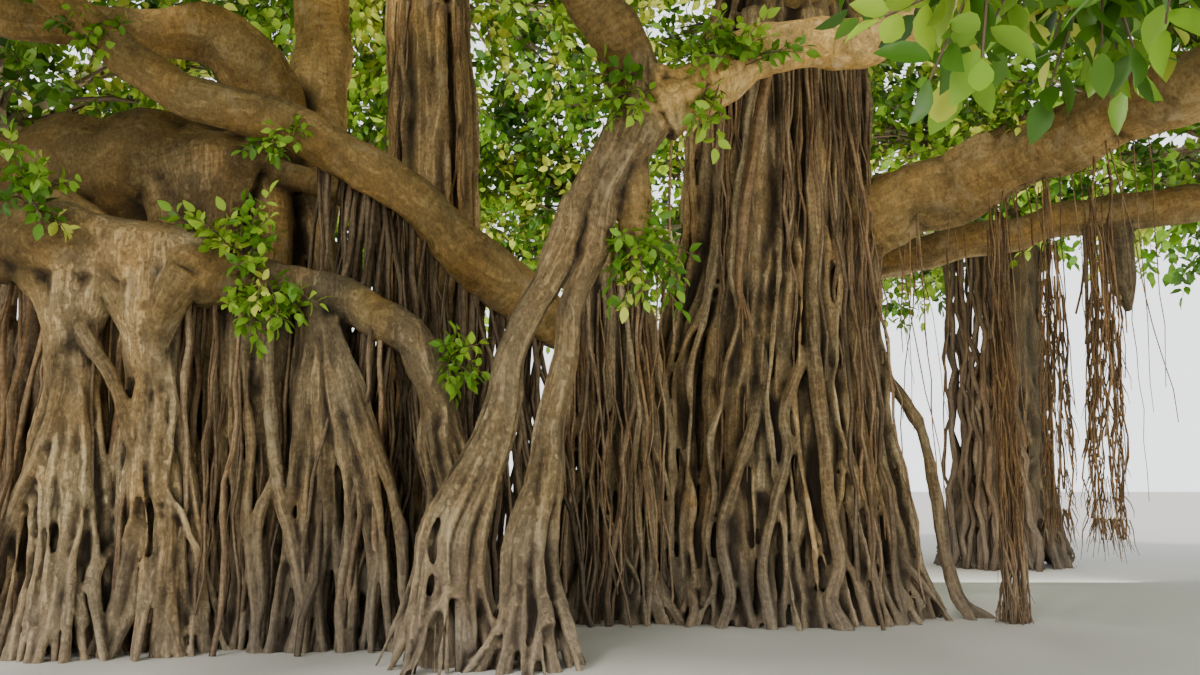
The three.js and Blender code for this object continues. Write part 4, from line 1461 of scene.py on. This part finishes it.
@dataclass
class HangingRoots:
    """Thin roots that hang from the boughs, some down to the ground.

    The steps are distances between the points of single roots, ropes and curtains. A root that ends
    under the height landed stands on the ground, and one thinner than slender has four sides.
    """

    step: float = 0.16
    rope_step: float = 0.23
    curtain_step: float = 0.3
    landed: float = 0.02
    slender: float = 0.03
    rope_tone: tuple = (0.4, 1.0)
    seed: int = 90
    skin: Skin = field(default_factory=Skin)
    rng: np.random.Generator = field(init=False)

    def __post_init__(self) -> None:
        """Seeds the draws."""
        self.rng = np.random.default_rng(self.seed)

    def one(self, knots: list, sides: int, tone: float = 0.5) -> None:
        """One root through rows of x, y, z and radius."""
        path, radii = spline(knots, self.step)
        path[:, 2] = np.maximum(path[:, 2], 0.0)
        self.skin.tubes(path[None], radii[None], sides, tone=tone)

    def curtain(self, line: list, count: int, thick: tuple, bottom: tuple, sway: float,
                depth: float = 0.15, tone: tuple = (0.3, 0.9), lean: float = 0.25) -> None:
        """Roots that hang from a line.

        Args:
            line: Rows of x, y, z along which they start.
            count: How many.
            thick: Least and greatest radius.
            bottom: Least and greatest height of the lower end; under zero reaches the ground.
            sway: How far they wander.
            depth: Spread across the line.
            tone: Least and greatest warmth; under zero, painted shade as in Skin.tubes.
            lean: How far the lower end may stand from the upper one.
        """
        rng = self.rng
        line = np.array(line, float)
        for _ in range(count):
            at = rng.uniform(0, len(line) - 1.001)
            k = int(at)
            start = line[k] + (line[k + 1] - line[k]) * (at - k)
            start = start + np.array([rng.normal(0, depth * 0.5), rng.normal(0, depth), 0])
            end = rng.uniform(*bottom)
            landed = end <= self.landed
            end = max(end, 0.0)
            steps = max(5, int((start[2] - end) / self.curtain_step))
            z = np.linspace(start[2], end, steps)
            share = (start[2] - z) / (start[2] - end)
            drift = rng.normal(0, lean, 2)
            x, y = (start[axis] + drift[axis] * share
                    + sway * wave(rng, z, 1.7) * np.minimum(share * 4, 1) for axis in (0, 1))
            radius = rng.uniform(*thick) * (1 + 0.2 * wave(rng, z, 0.8))
            radius = radius * (1 + 0.5 * share if landed else 1.1 - 0.6 * share)
            self.skin.tubes(np.stack([x, y, z], axis=1)[None], radius[None],
                            4 if radius[0] < self.slender else 5, tone=rng.uniform(*tone))

    def rope(self, levels: list, count: int, thick: tuple, twist: float, start: tuple, ragged: float,
             rootlets: int) -> None:
        """Roots that hang side by side, with fine rootlets on the lower part.

        Args:
            levels: Rows of x, y, z and bundle radius, highest first.
            count: How many.
            thick: Least and greatest radius of a root.
            twist: Turns to the metre.
            start: Least and greatest distance below the top at which a root begins.
            ragged: How far above the bundle's end a root may stop.
            rootlets: How many rootlets.
        """
        rng = self.rng
        path, reach = spline(levels, self.rope_step)
        run = np.linspace(0, 1, len(path)) * np.linalg.norm(path[-1] - path[0])
        for _ in range(count):
            first = np.searchsorted(run, rng.uniform(*start))
            last = np.searchsorted(run, run[-1] - rng.uniform(0, ragged)) + 1
            if last - first < 5:
                continue
            part = slice(first, last)
            angle = rng.uniform(0, TAU) + TAU * twist * run[part] + 0.5 * wave(rng, run[part], 2.2)
            away = reach[part] * math.sqrt(rng.uniform(0.02, 1)) * (1 + 0.22 * wave(rng, run[part], 1.4))
            jitter = 0.013 * np.stack([wave(rng, run[part], 0.6), wave(rng, run[part], 0.6)], axis=1)
            line = path[part] + np.stack([away * np.cos(angle), away * np.sin(angle),
                                          np.zeros(len(away))], axis=1)
            line[:, :2] += jitter
            radius = rng.uniform(*thick) * (1 + 0.25 * wave(rng, run[part], 0.5))
            self.skin.tubes(line[None], radius[None], 4, tone=rng.uniform(*self.rope_tone))
        for _ in range(rootlets):
            at = int((1 - rng.uniform() ** 2 * 0.6) * (len(path) - 1))
            turn, length = rng.uniform(0, TAU), rng.uniform(0.15, 0.5)
            out = np.array([math.cos(turn), math.sin(turn), 0.0])
            t = np.linspace(0, 1, 4)[:, None]
            line = (path[at] + out * reach[at] * rng.uniform(0.3, 1.0)
                    + out * t ** 0.7 * rng.uniform(0.02, 0.09) - UP * t * length)
            line = line + 0.012 * rng.normal(size=line.shape)
            self.skin.tubes(line[None], np.linspace(0.008, 0.003, 4)[None], 3, root_end=False,
                            tone=rng.uniform(*self.rope_tone))

    def build(self) -> None:
        """Makes the piece."""
        for rope in ROPES:
            self.rope(*rope)
        for curtain in CURTAINS:
            self.curtain(*curtain)
        self.one([[-0.64, -3.6, 6.3, 0.055], [-0.8, -3.2, 5.3, 0.07], [-0.9, -3.0, 4.5, 0.065],
                  [-0.95, -2.95, 3.85, 0.045], [-0.9, -2.9, 3.5, 0.02]], 8, 0.75)
        for dx, dz in ((-0.06, 0.25), (0.02, 0.12), (0.09, 0.3), (0.14, 0.05)):
            self.one([[-0.93, -2.93, 3.8, 0.022], [-0.93 + dx * 0.6, -2.93, 3.5, 0.014],
                      [-0.93 + dx, -2.9, 3.1 + dz, 0.006]], 4, 0.7)
        self.one([[-1.75, -3.9, 5.35, 0.016], [-1.78, -3.8, 4.3, 0.014], [-1.74, -3.8, 3.1, 0.01]], 5)
        piece = place(self.skin.bark_mesh("hanging_roots"), "hanging_roots", smooth=True)
        piece.data.materials.append(ROOT_BARK.make())
        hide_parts("hanging_roots_grounded", "hanging_roots_middle", "hanging_roots_outer")
        report(piece)


# Sprigs: where each group springs from, and the tips of its twigs

SPRIGS = (
    ((-6.3, -3.5, 4.0), [(-6.95, -3.7, 4.4), (-6.65, -3.75, 4.45), (-6.33, -3.8, 4.5), (-6.05, -3.8, 4.5),
     (-5.95, -3.8, 4.2), (-6.44, -3.9, 4.2)]),
    ((-6.1, -3.5, 3.75), [(-6.15, -3.9, 3.9), (-6.0, -3.9, 3.5), (-6.24, -3.9, 3.6), (-5.72, -3.9, 3.5),
     (-5.89, -3.9, 3.2), (-6.1, -3.85, 3.15), (-5.48, -3.8, 3.4)]),
    ((-1.9, -4.1, 5.6), [(-2.65, -4.5, 5.75), (-2.5, -4.5, 5.4), (-2.75, -4.5, 5.2), (-2.38, -4.6, 5.6),
     (-2.3, -4.6, 5.2)]),
    ((-1.2, -3.9, 5.95), [(-1.49, -4.4, 6.0), (-1.23, -4.5, 6.35), (-1.36, -4.5, 6.15), (-1.03, -4.4, 5.95),
     (-1.59, -4.4, 5.65), (-0.77, -4.3, 6.3), (-0.57, -4.3, 6.1), (-1.6, -4.35, 5.2), (-1.4, -4.3, 5.1)]),
    ((-2.2, -4.0, 4.2), [(-2.5, -4.1, 3.95), (-2.24, -4.2, 3.75), (-1.98, -4.1, 3.95), (-1.76, -4.0, 3.8),
     (-2.4, -4.1, 3.5), (-2.05, -4.1, 3.5), (-1.88, -4.0, 4.3), (-1.68, -4.0, 3.6)]),
    ((-8.4, -3.9, 4.5), [(-8.36, -4.4, 5.1), (-8.13, -4.4, 4.8), (-8.25, -4.4, 4.5), (-7.96, -4.4, 4.6),
     (-7.8, -4.3, 4.2)]),
    ((-7.9, -3.65, 6.55), [(-8.25, -3.9, 6.6), (-7.9, -3.9, 6.35), (-7.7, -3.8, 6.5), (-8.05, -3.8, 6.2)]),
    ((-6.1, -3.15, 5.65), [(-6.34, -3.4, 5.35), (-6.0, -3.45, 5.3), (-5.8, -3.4, 5.4)]),
    ((2.7, -1.7, 6.0), [(2.4, -2.0, 6.4), (2.6, -2.1, 6.1), (2.95, -2.1, 6.3), (3.15, -2.2, 6.1),
     (2.3, -2.0, 6.5)]),
    ((-4.1, -3.4, 3.0), [(-4.05, -3.75, 3.15), (-3.85, -3.75, 2.9), (-3.95, -3.7, 2.75)]),
)


@dataclass
class Sprigs:
    """Leafy sprigs that sprout straight from the boughs."""

    seed: int = 70
    leaf: float = 0.15

    def build(self) -> None:
        """Makes the twigs and the leaves."""
        rng = np.random.default_rng(self.seed)
        foliage, skin = Foliage(NEAR_LEAF), Skin()
        for root, tips in SPRIGS:
            root = np.array(root)
            for tip in tips:
                for _ in range(3):
                    end = np.array(tip) + rng.normal(0, 0.09, 3)
                    lead = unit(end - root + UP * 0.3 + rng.normal(0, 0.2, 3))
                    twig = bent(root, lead, end, 6)
                    skin.tubes(twig[None], np.linspace(0.012, 0.004, 6)[None], 4, root_end=False)
                    green = np.clip(np.array([rng.normal(3.3, 1.0)]).astype(int), 1, 5)
                    foliage.sprays(rng, twig[None], 11, self.leaf, green, 0.45)
        piece = put_together(foliage.skin, "sprig_leaves", GREENS)
        report(piece)
        wood = put_together(skin, "sprig_twigs", (TWIG,))
        report(wood)


@dataclass
class Stage:
    """Floor, lights, sky and camera."""

    eye: tuple = EYE
    tilt: float = 8.67
    lens: float = 30.0
    sensor: float = 36.0
    sight: float = 2000.0
    floor_half: float = 900.0
    floor_gap: float = 0.002
    sky: float = 1.15
    backdrop: float = 2.4
    key: float = 2.6
    fill: float = 1.8
    bounce: float = 2800.0
    side: float = 700.0

    def build(self) -> None:
        """Sets up all of them."""
        self._floor()
        self._lights()
        lens = bpy.data.cameras.new("view")
        lens.lens = self.lens
        lens.sensor_width = self.sensor
        lens.clip_end = self.sight
        camera = bpy.data.objects.new("view", lens)
        camera.location = self.eye
        camera.rotation_euler = (math.radians(90 + self.tilt), 0, 0)
        bpy.context.scene.collection.objects.link(camera)
        bpy.context.scene.camera = camera

    def _floor(self) -> None:
        """A wide pale floor."""
        skin = Skin()
        corners = np.array([[-1, -1, 0], [1, -1, 0], [1, 1, 0], [-1, 1, 0]])
        skin.add(corners * self.floor_half, np.array([[0, 1, 2, 3]]), [])
        mesh = skin.mesh("floor")
        mesh.materials.append(FloorFinish().make())
        floor = bpy.data.objects.new("floor", mesh)
        floor.location = (0, 0, -self.floor_gap)
        bpy.context.scene.collection.objects.link(floor)

    def _lights(self) -> None:
        """A pale sky, a soft key from the front left and a fill under the crown."""
        world = bpy.data.worlds.new("pale_sky")
        bpy.context.scene.world = world
        world.use_nodes = True
        back = world.node_tree.nodes["Background"]
        back.inputs["Color"].default_value = (0.95, 0.97, 1.0, 1)
        seen = world.node_tree.nodes.new("ShaderNodeLightPath").outputs["Is Camera Ray"]
        bright = world.node_tree.nodes.new("ShaderNodeMapRange")
        bright.inputs["To Min"].default_value = self.sky
        bright.inputs["To Max"].default_value = self.backdrop
        world.node_tree.links.new(seen, bright.inputs["Value"])
        world.node_tree.links.new(bright.outputs["Result"], back.inputs["Strength"])
        for name, power, wide, colour, spot, aim in (
                ("key", self.key, 6, (1.0, 0.95, 0.86), (-12, -22, 26), (0, 0, 4)),
                ("fill", self.fill, 40, (1.0, 0.96, 0.9), (-15, -28, 8.5), (-2, 0, 2))):
            sun = bpy.data.lights.new(name, "SUN")
            sun.energy = power
            sun.angle = math.radians(wide)
            sun.color = colour
            self._aim(name, sun, spot, aim)
        for name, power, wide, spot, aim in (
                ("bounce", self.bounce, 16.0, (-1, 3.4, 0.6), (-1, 8.5, 6.5)),
                ("side", self.side, 5.0, (10, -12, 2.2), (-1, -1, 3.2))):
            panel = bpy.data.lights.new(name, "AREA")
            panel.shape = "RECTANGLE"
            panel.size, panel.size_y = wide, 5.0
            panel.energy = power
            panel.color = (1.0, 0.97, 0.88)
            self._aim(name, panel, spot, aim).visible_camera = False

    def _aim(self, name: str, lamp: bpy.types.Light, spot: tuple, aim: tuple) -> bpy.types.Object:
        """Puts a light at a spot, turned to an aim.

        Args:
            name: Name of the light.
            lamp: The light.
            spot: Where it stands.
            aim: What it looks at.

        Returns:
            The light's object.
        """
        holder = bpy.data.objects.new(name, lamp)
        holder.location = spot
        way = np.array(aim, float) - np.array(spot, float)
        flat = math.hypot(way[0], way[1])
        holder.rotation_euler = (math.atan2(flat, -way[2]), 0, math.atan2(-way[0], way[1]))
        bpy.context.scene.collection.objects.link(holder)
        return holder


def bough_strand(name: str, crown: Crown) -> list:
    """A bough with its collar, run on into the mass that it carries.

    Args:
        name: The bough.
        crown: Knows the masses.

    Returns:
        The bough as a list of strands.
    """
    knots = [list(knot) for knot in BOUGHS[name]]
    if name == "bough_cross":
        knots[0] = [-2.75, -1.0, 3.5, 0.14]
    elif name == "bough_front_left":
        knots.insert(0, [-6.3, -3.42, 3.8, 0.22])
    for mass, carriers in CARRIED.items():
        if name in carriers:
            place_in, way, radius = crown.entry(crown.masses[mass], name)
            knots.append([*(place_in + way * 0.3), radius])
    path, radii = spline(knots, RING_STEP)
    rng = np.random.default_rng(len(name) * 7 + int(abs(knots[0][0]) * 10))
    run = run_along(path)
    flare = 0.0 if "front_left" in name or name == "bough_cross" else 0.22
    shade = LIMB_SHADE.get(name, 0.6)
    radii = radii * (1 + 0.05 * wave(rng, run, 1.2)) * (1 + flare * np.exp(-run / 0.35))
    path = path + 0.12 * radii[:, None] * np.stack([wave(rng, run, 1.6) for _ in range(3)], axis=1)
    found = [Strand(path, radii, rng.uniform(0.45, 0.8), 1.0, shade)]
    for _ in range(1 if "front_left" in name else 3):
        angle = rng.uniform(0, TAU) + 0.5 * wave(rng, run, 3.0)
        _, across, over = (part[0] for part in ring_frames(path[None]))
        ridge = radii * rng.uniform(0.3, 0.42)
        reach = (radii - ridge * 0.72)[:, None]
        found.append(Strand(path + reach * (across * np.cos(angle)[:, None] + over * np.sin(angle)[:, None]),
                            ridge, rng.uniform(0.4, 0.8), 1.0, shade + rng.uniform(-0.25, 0.25)))
    for _ in range(int(run[-1] / 0.9)):
        at, turn = rng.integers(1, len(path) - 1), rng.uniform(0, TAU)
        out = across[at] * math.cos(turn) + over[at] * math.sin(turn)
        size = radii[at] * rng.uniform(0.32, 0.6)
        reach = np.linspace(0.55, rng.uniform(0.78, 1.0), 4)[:, None] * (radii[at] - size * 0.4)
        knob = path[at] + out * reach
        found.append(Strand(knob, size * np.array([1.0, 0.95, 0.8, 0.55]), rng.uniform(0.3, 0.8), 1.0,
                            shade))
    return found


# Roots and limbs placed one by one: rows of x, y, z and radius, then warmth, bough share and shade

PLACED = {
    "front_left_bark": (
        ([[-8.2, -3.6, 4.08, 0.42], [-7.05, -3.5, 3.95, 0.41], [-6.2, -3.42, 3.8, 0.29]], 0.6, 1.0, 0.0),
        ([[-5.0, -3.3, 3.5, 0.2], [-4.5, -3.35, 3.2, 0.21], [-4.15, -3.38, 2.3, 0.17]], 0.5, 0.6, 0.55),
        ([[-8.02, -3.7, 3.5, 0.13], [-7.72, -3.8, 3.1, 0.1], [-7.42, -3.8, 2.66, 0.085],
          [-7.28, -3.75, 2.2, 0.08], [-7.12, -3.7, 1.7, 0.08], [-7.2, -3.75, 0.9, 0.08],
          [-7.3, -3.85, -0.05, 0.08]], 0.4, 0.0, 0.55),
        ([[-7.98, -3.8, 2.9, 0.09], [-7.96, -3.9, 2.4, 0.085], [-8.06, -3.9, 2.0, 0.08],
          [-8.25, -3.9, 1.5, 0.075], [-8.4, -3.9, 1.0, 0.065], [-8.5, -3.95, -0.05, 0.06]], 0.4, 0.0, 0.55),
        ([[-6.0, -3.4, 3.5, 0.05], [-5.98, -3.5, 3.0, 0.055], [-5.82, -3.5, 1.7, 0.07],
          [-5.6, -3.5, 0.9, 0.08], [-5.5, -3.5, 0.45, 0.085], [-5.55, -3.55, -0.05, 0.09]], 0.15, 0.0,
          0.55),
        ([[-5.8, -3.5, 1.85, 0.05], [-6.0, -3.5, 1.3, 0.05], [-5.92, -3.5, 0.5, 0.05],
          [-5.98, -3.55, -0.05, 0.06]], 0.15, 0.0, 0.55),
        ([[-6.31, -3.4, 3.7, 0.035], [-6.2, -3.5, 2.64, 0.04], [-6.12, -3.5, 2.1, 0.045],
          [-6.12, -3.5, 1.3, 0.05], [-6.0, -3.5, 0.5, 0.055], [-5.92, -3.6, -0.05, 0.06]], 0.3, 0.0, 0.55),
    ),
    "centre_bark": (
        ([[-3.05, -4.13, 3.6, 0.13], [-2.86, -4.12, 4.1, 0.165], [-2.62, -4.1, 4.6, 0.18],
          [-2.3, -4.1, 5.1, 0.22], [-2.02, -4.1, 5.6, 0.29], [-2.0, -4.1, 5.85, 0.26]], 0.4, 0.3, 1.0),
        ([[-2.2, -4.05, 4.9, 0.2], [-2.15, -4.0, 4.4, 0.17], [-2.2, -3.95, 3.95, 0.13],
          [-2.25, -3.95, 3.7, 0.05]], 0.5, 1.0, 0.55),
        ([[-2.4, -4.1, 4.75, 0.17], [-2.2, -4.12, 5.02, 0.21], [-2.02, -4.12, 5.3, 0.25],
          [-1.9, -4.1, 5.6, 0.25]], 0.6, 0.6, 1.0),
    ),
    "trunk_main_bark": (
        ([[0.3, -0.85, 4.7, 0.06], [0.24, -1.1, 4.2, 0.08], [0.2, -1.34, 3.5, 0.09],
          [0.22, -1.44, 2.85, 0.1], [0.27, -1.48, 2.2, 0.09], [0.27, -1.55, 1.6, 0.09],
          [0.36, -1.65, 0.7, 0.09], [0.22, -1.8, 0.3, 0.1], [0.35, -1.95, -0.05, 0.1]], 0.3, 0.0, 0.55),
        ([[0.2, -1.0, 3.9, 0.05], [0.12, -1.3, 3.4, 0.07], [-0.22, -1.45, 2.53, 0.07],
          [-0.18, -1.5, 2.1, 0.07], [-0.4, -1.58, 1.36, 0.07], [-0.55, -1.65, 0.7, 0.075],
          [-0.5, -1.9, -0.05, 0.08]], 0.3, 0.0, 0.55),
        ([[-0.25, -0.95, 3.6, 0.05], [-0.4, -1.2, 3.1, 0.065], [-0.6, -1.4, 2.4, 0.075],
          [-0.8, -1.42, 1.8, 0.08], [-1.02, -1.48, 1.0, 0.08], [-0.95, -1.65, 0.3, 0.08],
          [-1.1, -1.8, -0.05, 0.09]], 0.2, 0.0, 0.55),
        ([[0.7, -0.7, 3.6, 0.05], [1.1, -0.7, 3.3, 0.07], [1.5, -0.6, 2.85, 0.08], [1.75, -0.6, 2.4, 0.08],
          [1.92, -0.6, 1.5, 0.08], [2.0, -0.65, 0.7, 0.09], [2.15, -0.75, 0.15, 0.08],
          [2.5, -0.9, -0.04, 0.06]], 0.3, 0.0, 0.55),
        ([[2.0, -0.65, 0.7, 0.08], [2.05, -0.8, 0.25, 0.08], [2.15, -1.1, -0.04, 0.06]], 0.4, 0.0, 0.55),
        # A dark strand fills the hole between the core and the roots with painted shade
        ([[0.35, -1.15, 2.6, 0.13], [0.32, -1.25, 1.5, 0.14], [0.3, -1.35, 0.4, 0.15]], 0.4, 0.0, 0.2),
        ([[-0.36, -0.8, 8.2, 0.2], [-0.4, -0.93, 6.5, 0.21], [-0.45, -0.98, 5.2, 0.19],
          [-0.52, -1.1, 4.2, 0.13], [-0.42, -1.25, 3.0, 0.09], [-0.5, -1.4, 1.6, 0.08]], 0.0, 0.0, 1.1),
        ([[0.4, -0.8, 8.2, 0.15], [0.43, -0.92, 6.5, 0.16], [0.4, -1.0, 5.3, 0.14], [0.28, -1.1, 4.2, 0.1],
          [0.12, -1.25, 3.2, 0.08]], 0.4, 0.0, 1.5),
    ),
    "trunk_left_bark": (
        ([[-8.0, -1.75, 5.5, 0.3], [-7.75, -1.9, 4.8, 0.3], [-7.65, -2.0, 3.6, 0.26],
          [-7.7, -2.1, 2.0, 0.2]], 0.5, 0.6, 0.7),
        ([[-7.3, -1.7, 5.6, 0.3], [-7.15, -1.9, 4.8, 0.27], [-7.1, -2.0, 3.6, 0.22],
          [-7.0, -2.1, 2.0, 0.16]], 0.6, 0.3, 1.0),
        ([[-6.75, -1.6, 5.8, 0.26], [-6.55, -1.85, 4.9, 0.25], [-6.5, -1.95, 3.6, 0.2],
          [-6.5, -2.0, 2.0, 0.14]], 0.8, 0.6, 1.3),
        ([[-6.3, -1.4, 5.3, 0.2], [-6.0, -1.6, 4.6, 0.19], [-5.8, -1.7, 3.6, 0.16],
          [-5.75, -1.8, 1.8, 0.12]], 0.4, 0.2, 1.0),
        ([[-6.9, -1.7, 5.6, 0.2], [-6.2, -1.9, 5.42, 0.17], [-5.5, -1.7, 5.15, 0.15],
          [-4.9, -1.1, 4.9, 0.12]], 0.5, 1.0, 0.4),
        ([[-9.5, -1.95, 5.3, 0.16], [-8.9, -2.2, 4.98, 0.17], [-8.4, -2.3, 4.6, 0.2],
          [-8.2, -2.2, 3.6, 0.2], [-8.2, -2.1, 2.0, 0.15]], 0.6, 0.8, 0.9),
        ([[-7.1, -1.15, 3.4, 0.7], [-7.3, -1.2, 4.5, 0.74], [-7.8, -1.3, 5.25, 0.7],
          [-8.7, -1.5, 5.65, 0.64]], 0.5, 0.7, 0.55),
        ([[-7.0, -1.2, 4.2, 0.6], [-6.9, -1.3, 5.4, 0.52], [-6.87, -1.45, 6.5, 0.43]], 0.5, 0.8, 0.55),
        ([[-6.75, -1.05, 4.0, 0.5], [-6.45, -0.95, 5.3, 0.46], [-6.41, -0.78, 6.8, 0.41]], 0.5, 0.8, 0.55),
    ),
    "right_boughs_bark": (
        ([[4.62, -0.5, 5.4, 0.2], [4.65, -0.5, 4.5, 0.17], [4.7, -0.5, 4.0, 0.05]], 0.0, 0.0, 0.0),
    ),
}


def build_bark(crown: Crown) -> None:
    """Makes the fused pieces of bark.

    Args:
        crown: Knows where the boughs run into the masses.
    """
    finishes = {Slot.TRUNK: TRUNK_BARK.make(), Slot.BOUGH: BOUGH_BARK.make()}

    def grown(name: str, slot: Slot, voxel: float, budget: int, uprights: dict, boughs: tuple,
              extra: list, others: tuple = (), **options: object) -> None:
        """Makes one piece from its uprights with their sizes, its boughs and further strands."""
        bundles = [RootBundle(UPRIGHTS[upright], **sizes) for upright, sizes in uprights.items()]
        strands = [part for bough in boughs for part in bough_strand(bough, crown)]
        strands += extra + [strand(*row) for row in PLACED.get(name, ())]
        FusedBark(name, slot, finishes[slot], (*uprights, *boughs, *others), voxel, budget, bundles,
                  strands, **options).build()

    arms = [strand([[x, -3.62, 2.75, 0.15], [x + 0.08 * side, -3.66, 3.2, 0.19],
                    [x + 0.22 * side, -3.7, 3.55, 0.2], [x + 0.39 * side, -3.7, 3.85, 0.25]],
                   0.5, 0.7, 0.5) for x in (-7.97, -7.2) for side in (-1, 1)]
    necks = [strand([[x, y - 0.18, 4.15, 0.22], [x, y - 0.24, 3.65, 0.21], [x, y - 0.15, 3.0, 0.17],
                     [x, y, 2.4, 0.12]], 0.5, 0.4, 0.6) for x, y in ((-7.97, -3.52), (-7.2, -3.48))]
    fan = [strand([[-5.55 + 0.02 * n, -3.48, 3.4, 0.045],
                   [-5.62 + 0.06 * n, -3.56 + 0.03 * (n % 3), 2.3 + 0.1 * (n % 4), 0.047],
                   [-5.7 + 0.1 * n + 0.03 * math.sin(2.4 * n), -3.5 + 0.04 * (n % 2), 1.2, 0.04],
                   [-5.76 + 0.11 * n + 0.05 * math.sin(4.1 * n), -3.55 + 0.06 * (n % 3), 0.5, 0.04],
                   [-5.8 + 0.118 * n + 0.07 * math.sin(5.3 * n), -3.6 + 0.1 * (n % 3), -0.05, 0.045]],
                  0.25, 0.0, 0.3 + 0.25 * (n % 4)) for n in range(13)]
    # The web of roots behind the front row is darkened with painted shade
    web = [strand([[-5.2, -1.0, 5.7 - 0.28 * n, 0.07], [-5.25 - 0.05 * n, -1.05, 3.4 - 0.2 * n, 0.07],
                   [-5.35 - 0.085 * n, -1.2, 1.2, 0.06 + 0.012 * (n % 3)],
                   [-5.32 - 0.09 * n, -1.25, -0.05, 0.08]], 0.3, 0.0, 0.1) for n in range(9)]
    front = dict(wander=0.2, over=21, over_thick=(0.02, 0.036), over_out=3.0, shade=(1.5, 2.0))
    leg = dict(wander=0.26, core=(0.9, 0.4), over_thick=(0.014, 0.03), meander=4.0, bury=1.0, jut=0.3,
               shade=(0.4, 1.2))
    wide = dict(over_thick=(0.025, 0.042), spread=0.4)
    tall = dict(over_out=2.5, meander=5.0, jut=0.9)
    rear = dict(count=8, wander=0.4, toes=(2, 3))
    grown("front_left_bark", Slot.TRUNK, 0.025, 112000, {
        "pillar_arch": dict(count=17, thick=(0.10, 0.05), seed=11, core=(0.95, 0.12), spread=0.28,
                            calm=2.1, **front),
        "pillar_scarred": dict(count=19, thick=(0.10, 0.052), seed=12, core=(0.96, 0.15), spread=0.3,
                               calm=2.2, **front),
        "pillar_curtain": dict(count=20, thick=(0.036, 0.042), seed=13, wander=0.18, core=(0.2, 0.15),
                               toes=(1, 2), over=16, over_thick=(0.016, 0.032), spread=0.2),
        "pillar_fan": dict(count=27, thick=(0.07, 0.05), seed=14, wander=0.16, core=(0.8, 0.35),
                           toes=(1, 2), over=12, over_thick=(0.016, 0.036), spread=0.25,
                           shade=(0.0, 0.6)),
        "pillar_bent": dict(count=12, thick=(0.08, 0.05), seed=15, wander=0.3, core=(0.85, 0.25),
                            over=13, over_thick=(0.02, 0.036), spread=0.25, calm=1.9, over_out=2.5,
                            dome=0.45, into=0.2),
    }, ("bough_front_left", "bough_front_left_thin"), arms + necks + fan, even_above=3.2)
    grown("centre_bark", Slot.TRUNK, 0.023, 60000, {
        "pillar_centre_right": dict(count=11, thick=(0.075, 0.048), seed=21, over=7, tone=(0.15, 0.45),
                                    calm=1.8, **leg),
        "pillar_centre_left": dict(count=12, thick=(0.075, 0.05), seed=22, over=8, tone=(0.1, 0.4),
                                   calm=1.9, dome=0.6, into=0.2, **leg),
    }, ("bough_centre_left", "bough_centre_right"), [], sides=14)
    grown("trunk_main_bark", Slot.TRUNK, 0.028, 124000, {
        "trunk_main": dict(count=86, thick=(0.07, 0.07), seed=31, wander=0.055, core=(0.84, 0.8),
                           over=104, tone=(0.1, 0.6), meander=5.0, bury=0.5, jut=1.0, shade=(0.0, 1.2),
                           over_lift=0.8, over_out=4.2, cleft=(-math.pi / 2, 0.2, 4.4), **wide),
        "trunk_middle": dict(count=25, thick=(0.07, 0.065), seed=32, wander=0.15, core=(0.8, 0.6),
                             over=26, over_out=3.0, tone=(0.0, 0.5), meander=4.0, jut=0.9,
                             shade=(0.0, 1.1), over_lift=0.6, **wide),
    }, (), [])
    grown("trunk_left_bark", Slot.TRUNK, 0.038, 64000, {
        # Its roots are kept darker than the others, partly as painted shade behind the front row
        "trunk_left": dict(count=42, thick=(0.11, 0.09), seed=41, wander=0.08, core=(0.88, 0.75),
                           over=38, tone=(0.2, 0.7), over_thick=(0.035, 0.05), dome=1.1, into=0.25,
                           shade=(0.0, 0.9), **tall),
        "trunk_inner": dict(count=22, thick=(0.10, 0.085), seed=42, wander=0.12, core=(0.82, 0.7),
                            over=22, tone=(0.3, 0.8), over_thick=(0.035, 0.045), shade=(0.7, 1.9),
                            over_lift=0.6, **tall),
    }, ("bough_left", "bough_cross", "bough_upper_left", "bough_left_upright"), web)
    grown("right_boughs_bark", Slot.BOUGH, 0.034, 22000, {}, ("bough_right", "bough_right_lower"), [],
          others=("hanging_stub",))
    grown("far_bark", Slot.TRUNK, 0.048, 36000, {
        # The far pillar's roots are darkened with painted shade
        "pillar_far_right": dict(count=30, thick=(0.11, 0.09), seed=51, wander=0.16, core=(0.85, 0.5),
                                 toes=(2, 3), over=30, over_thick=(0.035, 0.055), jut=0.8, over_out=2.0,
                                 shade=(-0.4, 0.1)),
        "pillar_rear": dict(thick=(0.15, 0.10), seed=52, **rear),
        "pillar_rear_left": dict(thick=(0.15, 0.10), seed=53, **rear),
        "pillar_far_left": dict(thick=(0.14, 0.10), seed=54, **rear),
    }, ("bough_rear", "bough_rear_left"), [])
    grown("upper_boughs_bark", Slot.BOUGH, 0.055, 14000, {},
          ("bough_upper_front", "bough_upper_right", "bough_upper_rear", "bough_crown_right",
           "bough_inner_front", "bough_inner_rear", "bough_crown_left", "bough_drooping"), [])


def crown_limbs(crown: Crown) -> None:
    """Makes the piece of boughs inside the grown crown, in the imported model's own bough colour."""
    piece = place(crown.limbs.bark_mesh("crown_limbs"), "crown_limbs", smooth=True)
    write(piece.data, "bough", np.ones(len(piece.data.vertices)))
    piece.data.materials.append(bpy.data.materials[BOUGH_BARK.name])
    report(piece)


def main() -> None:
    """Builds the tree and its stage."""
    logging.basicConfig(level=logging.INFO, format="%(name)s %(message)s")
    Stage().build()
    crown = Crown()
    build_bark(crown)
    crown.build()
    crown_limbs(crown)
    HangingRoots().build()
    Sprigs().build()
    bpy.context.view_layer.update()


if __name__ == "__main__":
    main()
